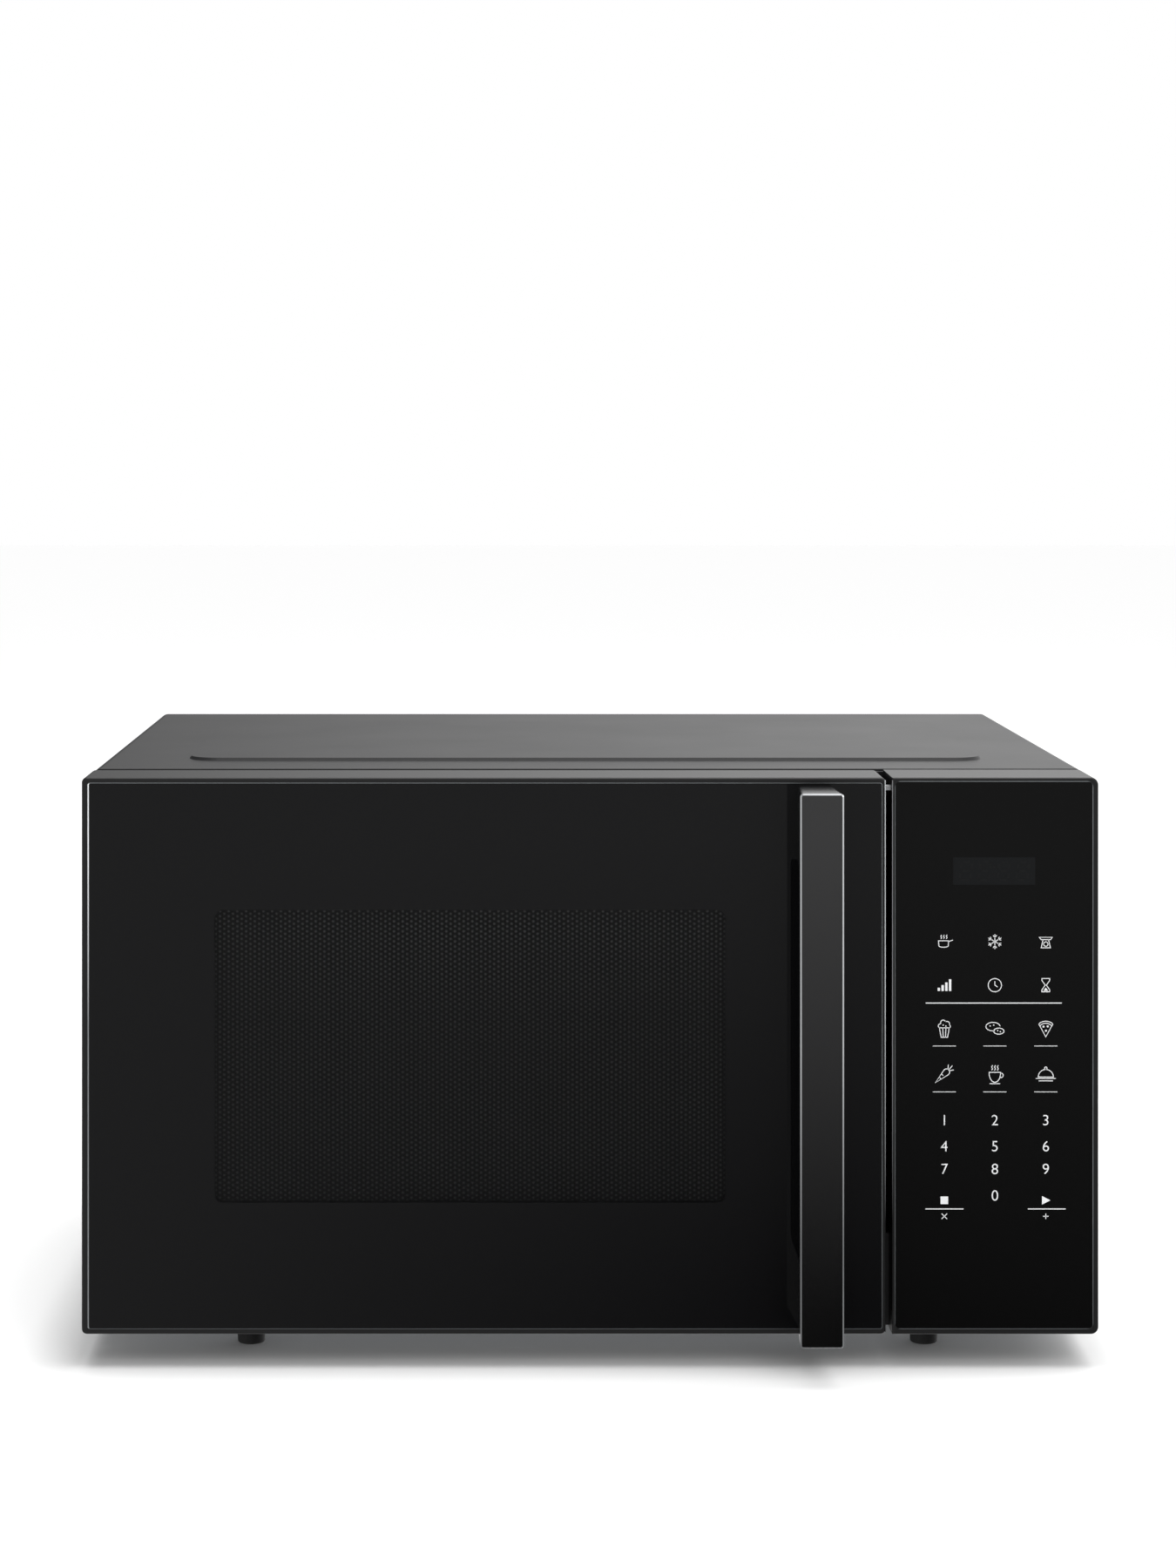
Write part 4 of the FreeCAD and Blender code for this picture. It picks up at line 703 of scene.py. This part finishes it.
def ring(x, z, radiusX, radiusZ, steps):
    return arc(x, z, radiusX, radiusZ, 0, 360 * (steps - 1) / steps, steps - 1)


def dots(places, radius, steps):
    return [ring(x, z, radius, radius, steps) for x, z in places]


def steam(places, low, step):
    return [([(x, low), (x + 0.1, low + step), (x, low + 2 * step), (x + 0.1, low + 3 * step)], False)
            for x in places]


# each picture is a list of strokes, (points, closed), and a list of filled shapes, about one unit each way

def saucepan():
    pan = [(-0.75, 0.1), (-0.7, -0.55)] + arc(-0.1, -0.55, 0.6, 0.18, 180, 360, 8)[1:] + [(0.55, 0.1)]
    return [(pan, True), ([(0.55, 0.0), (1.1, 0.2)], False)] + steam((-0.45, -0.1, 0.25), 0.35, 0.17), []


def snowflake():
    strokes = []
    for turn in range(6):
        angle = math.radians(30 + turn * 60)
        way = Vector((math.cos(angle), math.sin(angle)))
        side = Vector((-way.y, way.x))
        strokes.append(([way * 0.05, way * 0.95], False))
        strokes.append(([way * 0.8 + side * 0.24, way * 0.52, way * 0.8 - side * 0.24], False))
    return strokes, []


def kitchenScale():
    return [([(-0.85, 0.55), (0.85, 0.55), (0.6, 0.25), (-0.6, 0.25)], True),
            ([(-0.35, 0.25), (-0.6, -0.8), (0.6, -0.8), (0.35, 0.25)], False),
            (ring(0, -0.32, 0.28, 0.28, 16), True)], []


def powerBars():
    steps = ((-0.85, -0.35), (-0.37, 0.0), (0.11, 0.35), (0.59, 0.75))
    return [], [[(x, -0.75), (x + 0.3, -0.75), (x + 0.3, top), (x, top)] for x, top in steps]


def clockFace():
    return [(ring(0, 0, 0.85, 0.85, 30), True), ([(0, 0.5), (0, 0), (0.36, -0.24)], False)], []


def hourglass():
    glass = [(-0.5, 0.85), (0.5, 0.85), (0.5, 0.6), (0.07, 0), (0.5, -0.6),
             (0.5, -0.85), (-0.5, -0.85), (-0.5, -0.6), (-0.07, 0), (-0.5, 0.6)]
    return [(glass, True)], [[(-0.3, -0.72), (0.3, -0.72), (0, -0.32)]]


def kernelCup():
    strokes = [([(-0.52, 0.05), (0.52, 0.05), (0.34, -0.95), (-0.34, -0.95)], True),
               ([(-0.17, 0.05), (-0.12, -0.95)], False), ([(0.17, 0.05), (0.12, -0.95)], False),
               (arc(-0.42, 0.26, 0.22, 0.22, 250, 75, 10), False),
               (arc(-0.12, 0.6, 0.27, 0.27, 205, 35, 10), False),
               (arc(0.3, 0.48, 0.25, 0.25, 120, -20, 10), False),
               (arc(0.48, 0.2, 0.16, 0.18, 60, -90, 8), False)]
    return strokes, dots(((-0.12, 0.34), (0.16, 0.24)), 0.07, 8)


def tubers():
    eyes = ((-0.5, 0.25), (-0.12, 0.34), (0.3, -0.24), (0.58, -0.36))
    return [(arc(-0.2, 0.18, 0.75, 0.45, 5, 285, 20), False),
            (ring(0.42, -0.3, 0.55, 0.32, 22), True)], dots(eyes, 0.07, 8)


def cheeseWedge():
    return [(arc(0, 0.15, 0.85, 0.6, 150, 30, 14), False), ([(-0.74, 0.45), (0, -0.9), (0.74, 0.45)], False),
            (arc(0, -0.02, 0.7, 0.55, 148, 32, 14), False)], dots(
        ((-0.24, 0.18), (0.2, 0.2), (0.02, -0.25)), 0.11, 10)


def carrot():
    crown = arc(0.22, 0.22, 0.34, 0.34, 140, -50, 10)
    lines = (((0.38, 0.5), (0.42, 1.0)), ((0.46, 0.46), (0.85, 0.9)), ((0.54, 0.36), (1.0, 0.46)),
             ((-0.3, 0.02), (-0.12, -0.14)), ((-0.36, -0.5), (-0.5, -0.34)))
    return [([(-0.95, -0.9)] + crown, True)] + [(line, False) for line in lines], []


def hotCup():
    bowl = [(-0.6, 0.2), (0.6, 0.2)] + arc(0, 0.1, 0.6, 0.95, 0, -180, 16)
    return [(bowl, True), (arc(0.6, -0.12, 0.28, 0.26, 75, -95, 10), False),
            ([(-0.55, -1.0), (0.55, -1.0)], False)] + steam((-0.34, -0.04, 0.26), 0.4, 0.18), []


def coveredDish():
    return [(arc(0, -0.3, 0.8, 0.8, 180, 0, 20), True), ([(-1.05, -0.45), (1.05, -0.45)], False),
            ([(-0.75, -0.7), (0.75, -0.7)], False), (ring(0, 0.64, 0.13, 0.13, 12), True)], []


def ribbon(built, points, width, closed=False):
    # a strip of even width along the points, flat on the glass
    path = [Vector(point) for point in points]
    count = len(path)
    rails = []
    for index, here in enumerate(path):
        ways = []
        if index > 0 or closed:
            ways.append((here - path[index - 1]).normalized())
        if index < count - 1 or closed:
            ways.append((path[(index + 1) % count] - here).normalized())
        sides = [Vector((-way.y, way.x)) for way in ways]
        middle = sum(sides, Vector((0, 0))).normalized()
        reach = width / 2 / max(printing["leastMitre"], middle.dot(sides[0]))
        spots = (here - middle * reach, here + middle * reach)
        rails.append([built.verts.new((spot.x, 0, spot.y)) for spot in spots])
    for index in range(count if closed else count - 1):
        first, second = rails[index], rails[(index + 1) % count]
        built.faces.new((first[0], second[0], second[1], first[1]))


def patch(built, points):
    built.faces.new([built.verts.new((x, 0, z)) for x, z in points])


def printOn(built, name, finish, glassFront, body):
    # gives flat shapes their thickness and puts them on the glass
    for face in built.faces:
        face.normal_update()
    bmesh.ops.reverse_faces(built, faces=[face for face in built.faces if face.normal.y > 0])
    made = bmesh.ops.extrude_face_region(built, geom=list(built.faces), use_keep_orig=True)
    raised = [item for item in made["geom"] if isinstance(item, bmesh.types.BMVert)]
    bmesh.ops.translate(built, verts=raised, vec=(0, -printing["proud"], 0))
    bmesh.ops.recalc_face_normals(built, faces=built.faces)
    bmesh.ops.translate(built, verts=built.verts, vec=(0, glassFront, 0))
    addPiece(name, meshFrom(name, built), finish, body)


def printPanel():
    look = printing
    ink = screenInk("whiteCeramicInk", *look["ink"])
    built = bmesh.new()
    columns = [panelLow.x + x for x in look["columns"]]
    base = panelLow.z

    def draw(picture, x, z, size):
        strokes, fills = picture()
        for points, closed in strokes:
            ribbon(built, [(x + u * size, z + v * size) for u, v in points], look["stroke"], closed)
        for points in fills:
            patch(built, [(x + u * size, z + v * size) for u, v in points])

    def rule(start, end, z, width):
        ribbon(built, [(start, base + z), (end, base + z)], width)

    keys = ((saucepan, snowflake, kitchenScale), (powerBars, clockFace, hourglass))
    foods = ((kernelCup, tubers, cheeseWedge), (carrot, hotCup, coveredDish))
    for row, pictures in zip(look["keyRows"], keys):
        for x, picture in zip(columns, pictures):
            draw(picture, x, base + row, look["keySize"])
    start, end = look["ruleEnds"]
    rule(panelLow.x + start, panelLow.x + end, look["ruleRow"], look["ruleWidth"])
    half = look["captionHalf"]
    for row, pictures in zip(look["foodRows"], foods):
        for x, picture in zip(columns, pictures):
            draw(picture, x, base + row, look["foodSize"])
            rule(x - half, x + half, row - look["captionDrop"], look["captionWidth"])
    for start, end in look["goEnds"]:
        rule(panelLow.x + start, panelLow.x + end, look["goRule"], look["ruleWidth"])

    stopX, startX = columns[0], columns[2]
    z = base + look["goRow"]
    half, tall = look["goHalf"], look["goTall"]
    patch(built, [(stopX + u * half, z + v * half) for u, v in ((-1, -1), (1, -1), (1, 1), (-1, 1))])
    patch(built, [(startX - half, z - tall), (startX + look["goPoint"], z), (startX - half, z + tall)])
    z = base + look["goNote"]
    arm = look["noteArm"]
    for slope in (-1, 1):
        ribbon(built, [(stopX - arm, z - slope * arm), (stopX + arm, z + slope * arm)], look["stroke"])
    ribbon(built, [(startX - arm, z), (startX + arm, z)], look["stroke"])
    ribbon(built, [(startX, z - arm), (startX, z + arm)], look["stroke"])
    printOn(built, "panelPictures", ink, panelLow.y, "oven")

    digits = bmesh.new()
    for row, numbers in zip(look["digitRows"], ((1, 2, 3), (4, 5, 6), (7, 8, 9), (None, 0, None))):
        for x, number in zip(columns, numbers):
            if number is not None:
                addDigit(digits, str(number), x, base + row)
    printOn(digits, "panelDigits", ink, panelLow.y, "oven")
    print("panel printed")


def addDigit(built, character, x, z):
    # a plain sans numeral, made a flat mesh
    curve = bpy.data.curves.new("numeral", "FONT")
    curve.body = character
    curve.size = printing["digitHeight"] / printing["digitShare"]
    curve.offset = printing["digitThinner"]
    curve.align_x = "CENTER"
    holder = bpy.data.objects.new("numeral", curve)
    scene.collection.objects.link(holder)
    bpy.context.view_layer.update()
    mesh = bpy.data.meshes.new_from_object(holder.evaluated_get(bpy.context.evaluated_depsgraph_get()))
    bpy.data.objects.remove(holder)
    heights = [corner.co.y for corner in mesh.vertices]
    mesh.transform(Matrix.Translation((x, 0, z)) @ Matrix.Rotation(math.pi / 2, 4, "X")
                   @ Matrix.Translation((0, -(min(heights) + max(heights)) / 2, 0)))
    built.from_mesh(mesh)
    bmesh.ops.remove_doubles(built, verts=built.verts, dist=printing["joined"])


printPanel()


# unlit seven-segment digits behind the display's filter

ghost = {
    "digits": 4,
    "digitWidth": 5.0 * mm,
    "digitHeight": 8.6 * mm,
    "gap": 9.0 * mm,
    "bar": 1.1 * mm,
    "slant": 0.12,
    "space": 0.35 * mm,      # between the bars' ends
    "colon": 0.6 * mm,
    "colonRise": 0.45,       # share of a digit's half height
    "higher": 0.9 * mm,      # than the display's middle
    "colours": ("101112", "131415"),
}


def printGhostDigits():
    built = bmesh.new()
    middleX = (displayLow.x + displayHigh.x) / 2
    middleZ = (displayLow.z + displayHigh.z) / 2 + ghost["higher"]
    halfWide, halfTall = ghost["digitWidth"] / 2, ghost["digitHeight"] / 2
    for place in range(ghost["digits"]):
        x = middleX + (place - (ghost["digits"] - 1) / 2) * ghost["gap"]
        corners = {(i, j): (x + i * halfWide + j * halfTall * ghost["slant"], middleZ + j * halfTall)
                   for i in (-1, 1) for j in (-1, 0, 1)}
        for first, second in (((-1, 1), (1, 1)), ((-1, 0), (1, 0)), ((-1, -1), (1, -1)), ((-1, 0), (-1, 1)),
                              ((1, 0), (1, 1)), ((-1, -1), (-1, 0)), ((1, -1), (1, 0))):
            start, end = Vector(corners[first]), Vector(corners[second])
            way = (end - start).normalized() * (ghost["space"] + ghost["bar"] / 2)
            ribbon(built, [start + way, end - way], ghost["bar"])
    for side in (-1, 1):
        z = middleZ + side * halfTall * ghost["colonRise"]
        patch(built, ring(middleX, z, ghost["colon"], ghost["colon"], 10))
    finish = screenInk("unlitSegment", *ghost["colours"])
    printOn(built, "displaySegments", finish, panelLow.y, "oven")


printGhostDigits()


# the bar handle: it widens towards its face, which has a bright chamfer all round

handle = {
    "backWidth": 16.4 * mm,
    "gapLow": 53.5 * mm,
    "gapHigh": 242 * mm,
    "gapDepth": 23.5 * mm,
    "gapCorner": 4 * mm,
    "gapSlope": 3 * mm,
    "endCorner": 1.6 * mm,
    "endDepth": 30 * mm,     # only the ends' edges run deeper
    "chamfer": 0.75 * mm,
    "faceArea": 3e-3,        # only the face is larger, in square metres
    "flatArea": 2e-5,        # larger flats keep sharp edges
    "facing": 0.99,          # how squarely the face looks ahead
    "upright": 0.6,          # and the chamfer's ends up or down
    "sharpAngle": 30,
}


def cutEdge(name, dark, light, rough, paintedFade=None):
    # a chamfer cut with a diamond tool through the lacquer into bright metal; given heights, its colour is
    # painted brighter higher up, a painted highlight
    material, tree, shader, where = newFinish(name, metallic=1.0)
    cuts = addNode(tree, "ShaderNodeTexNoise", noises["cutMarks"], {0: where})
    dress(tree, shader, colour=(fadeDown(tree, where, *paintedFade) if paintedFade else cuts, dark, light),
          roughness=(cuts, rough, rough + 0.12))
    return material


def handleFinishes():
    # dark metallic lacquer over ABS, glossy enough to show the light fade towards the ground; its colour is
    # also painted darker towards the ground: painted shade
    face, tree, shader, where = newFinish("graphiteLacquer", ior=1.66)
    flake = addNode(tree, "ShaderNodeTexNoise", noises["lacquerFlake"], {0: where})
    dress(tree, shader, colour=(fadeDown(tree, where, 20 * mm, 260 * mm), "030303", "161617"),
          roughness=(flake, 0.05, 0.08))
    # the sides' chamfer is painted pale and brightest high up, the ends' chamfer a dimmer grey: painted
    # highlight and painted shade on one cut metal
    sides = cutEdge("diamondCutSidesLit", "9A9C9E", "F0F2F4", 0.18, (70 * mm, 160 * mm))
    return [finishes["glossAbs"], face, sides, cutEdge("diamondCutEndsShaded", "88898B", "98999B", 0.22)]


def makeHandle():
    face, back = handleLow.y, glassLow.y
    low, high = handle["gapLow"], handle["gapHigh"]
    inner = back - handle["gapDepth"]
    lean = handle["gapSlope"]
    # seen from the side: up the face, down the upper post, along the gap, down the lower post
    side = [(back, handleLow.z), (face, handleLow.z), (face, handleHigh.z), (back, handleHigh.z),
            (back, high), (inner, high - lean), (inner, low + lean), (back, low)]
    middle = (handleLow.x + handleHigh.x) / 2
    faceHalf, backHalf = (handleHigh.x - handleLow.x) / 2, handle["backWidth"] / 2
    built = bmesh.new()
    walls = []
    for way in (-1, 1):
        reaches = [backHalf + (faceHalf - backHalf) * (back - y) / (back - face) for y, z in side]
        walls.append([built.verts.new((middle + way * reach, y, z)) for reach, (y, z) in zip(reaches, side)])
    count = len(side)
    for index in range(count):
        after = (index + 1) % count
        built.faces.new((walls[0][index], walls[0][after], walls[1][after], walls[1][index]))
    for wall in walls:
        built.faces.new(wall)
    bmesh.ops.recalc_face_normals(built, faces=built.faces)

    def chosen(test):
        return [edge for edge in built.edges if test(*[corner.co for corner in edge.verts])]

    near = 1e-6
    ends = chosen(lambda a, b: abs(a.z - b.z) < near and abs(a.y - b.y) > handle["endDepth"])
    bevel(built, ends, handle["endCorner"], 5)
    inside = chosen(lambda a, b: max(abs(a.y - inner), abs(b.y - inner), abs(a.z - b.z)) < near)
    bevel(built, inside, handle["gapCorner"], 6)
    front = [part for part in built.faces
             if -part.normal.y > handle["facing"] and part.calc_area() > handle["faceArea"]]
    for part in front:
        part.material_index = 1
    rim = list({edge for part in front for edge in part.edges})
    bevel(built, rim, handle["chamfer"], 1, material=2)
    # chamfer faces that look up or down take the dimmer copy of the cut metal: painted shade
    for part in built.faces:
        if part.material_index == 2 and abs(part.normal.z) > handle["upright"]:
            part.material_index = 3
    mesh = meshFrom("barHandle", built)
    mesh.shade_smooth()
    mesh.set_sharp_from_angle(angle=math.radians(handle["sharpAngle"]))
    # edges of the large flat faces stay sharp, so that only the roundings shade smoothly
    large = {key for part in mesh.polygons if part.area > handle["flatArea"] for key in part.edge_keys}
    for edge in mesh.edges:
        if edge.key in large:
            edge.use_edge_sharp = True
    piece = addPiece("barHandle", mesh, handleFinishes(), "door")
    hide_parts("door_handle")


makeHandle()
print("handle made")


# ground edges of the two front glasses: a thin pale line just inside each frame, a painted highlight for the
# light the edge catches

glassEdge = {
    "proud": 0.12 * mm,
    # width of the line at the left, right, bottom and top, then the corner's radius
    "door": (0.60 * mm, 0.30 * mm, 0.30 * mm, 0.32 * mm, 1.2 * mm),
    "panel": (0.22 * mm, 0.36 * mm, 0.34 * mm, 0.36 * mm, 2.2 * mm),
}


def groundEdge(name, first, second, low, high):
    # the edge of float glass, ground matt; its pale colour is a painted highlight, painted brighter higher up
    # for the light it gathers from above
    material, tree, shader, where = newFinish(name, ior=1.5, specular=0.3)
    grain = addNode(tree, "ShaderNodeTexNoise", noises["groundGrain"], {0: where})
    dress(tree, shader, colour=(fadeDown(tree, where, low, high), first, second),
          roughness=(grain, 0.25, 0.4))
    return material


def roundedLoop(left, right, bottom, top, radius, steps=6):
    points = []
    for x, z, start in ((right - radius, top - radius, 0), (left + radius, top - radius, 90),
                        (left + radius, bottom + radius, 180), (right - radius, bottom + radius, 270)):
        points += arc(x, z, radius, radius, start, start + 90, steps)
    return points


def makeGlassEdge(name, low, high, look, finish, body):
    # the second finish is for the left side, painted brightest on the door: a painted highlight
    left, right, bottom, top, radius = look
    outer = roundedLoop(low.x, high.x, low.z, high.z, radius)
    inner = roundedLoop(low.x + left, high.x - right, low.z + bottom, high.z - top, radius - right)
    built = bmesh.new()
    loops = []
    for points, depth in ((outer, 0), (outer, -glassEdge["proud"]), (inner, -glassEdge["proud"]), (inner, 0)):
        loops.append([built.verts.new((x, low.y + depth, z)) for x, z in points])
    count = len(outer)
    for index in range(count):
        after = (index + 1) % count
        for first, second in zip(loops, loops[1:] + loops[:1]):
            made = built.faces.new((first[index], first[after], second[after], second[index]))
            made.material_index = 1 if made.calc_center_median().x < low.x + left else 0
    bmesh.ops.recalc_face_normals(built, faces=built.faces)
    addPiece(name, meshFrom(name, built), finish, body)


dimEdgeHighlight = groundEdge("glassEdgePaintedHighlight", "545759", "727678", 20 * mm, 80 * mm)
brightEdgeHighlight = groundEdge("glassEdgePaintedHighlightBright", "7E8183", "E8EAEC", 165 * mm, 245 * mm)
makeGlassEdge("doorGlassEdge", glassLow, glassHigh, glassEdge["door"], [dimEdgeHighlight, brightEdgeHighlight], "door")
makeGlassEdge("panelGlassEdge", panelLow, panelHigh, glassEdge["panel"], [dimEdgeHighlight, dimEdgeHighlight], "oven")


# painted highlights down the two edges that face each other across the gap: thin pale strips, painted brighter
# higher up, standing in for the edges' shine

edgeHighlight = {
    "doorRight": 140.4 * mm,     # the door strip's outer side
    "panelLeft": 143.5 * mm,     # the panel strip's outer side
    "width": 0.42 * mm,
    "depth": 0.9 * mm,
    "behind": 0.15 * mm,     # how far it sits behind the front plane
    "shorter": 1.2 * mm,     # at each end
    "rounding": 0.1 * mm,
}


def makeEdgeTrim(name, left, low, high, finish, body):
    front = doorLow.y + edgeHighlight["behind"]
    corners = ((left, front, low.z + edgeHighlight["shorter"]),
               (left + edgeHighlight["width"], front + edgeHighlight["depth"], high.z - edgeHighlight["shorter"]))
    addPiece(name, boxMesh(name, *corners, edgeHighlight["rounding"]), finish, body)


greyPaintedHighlight = groundEdge("greyPaintedHighlight", "060607", "7C7D7F", 70 * mm, 150 * mm)
palePaintedHighlight = groundEdge("palePaintedHighlight", "0A0A0B", "C4C7C9", 70 * mm, 180 * mm)
makeEdgeTrim("doorEdgeHighlight", edgeHighlight["doorRight"] - edgeHighlight["width"], doorLow, doorHigh, palePaintedHighlight, "door")
makeEdgeTrim("panelEdgeHighlight", edgeHighlight["panelLeft"], bezelLow, bezelHigh, greyPaintedHighlight, "oven")
print("glass edges and trims done")
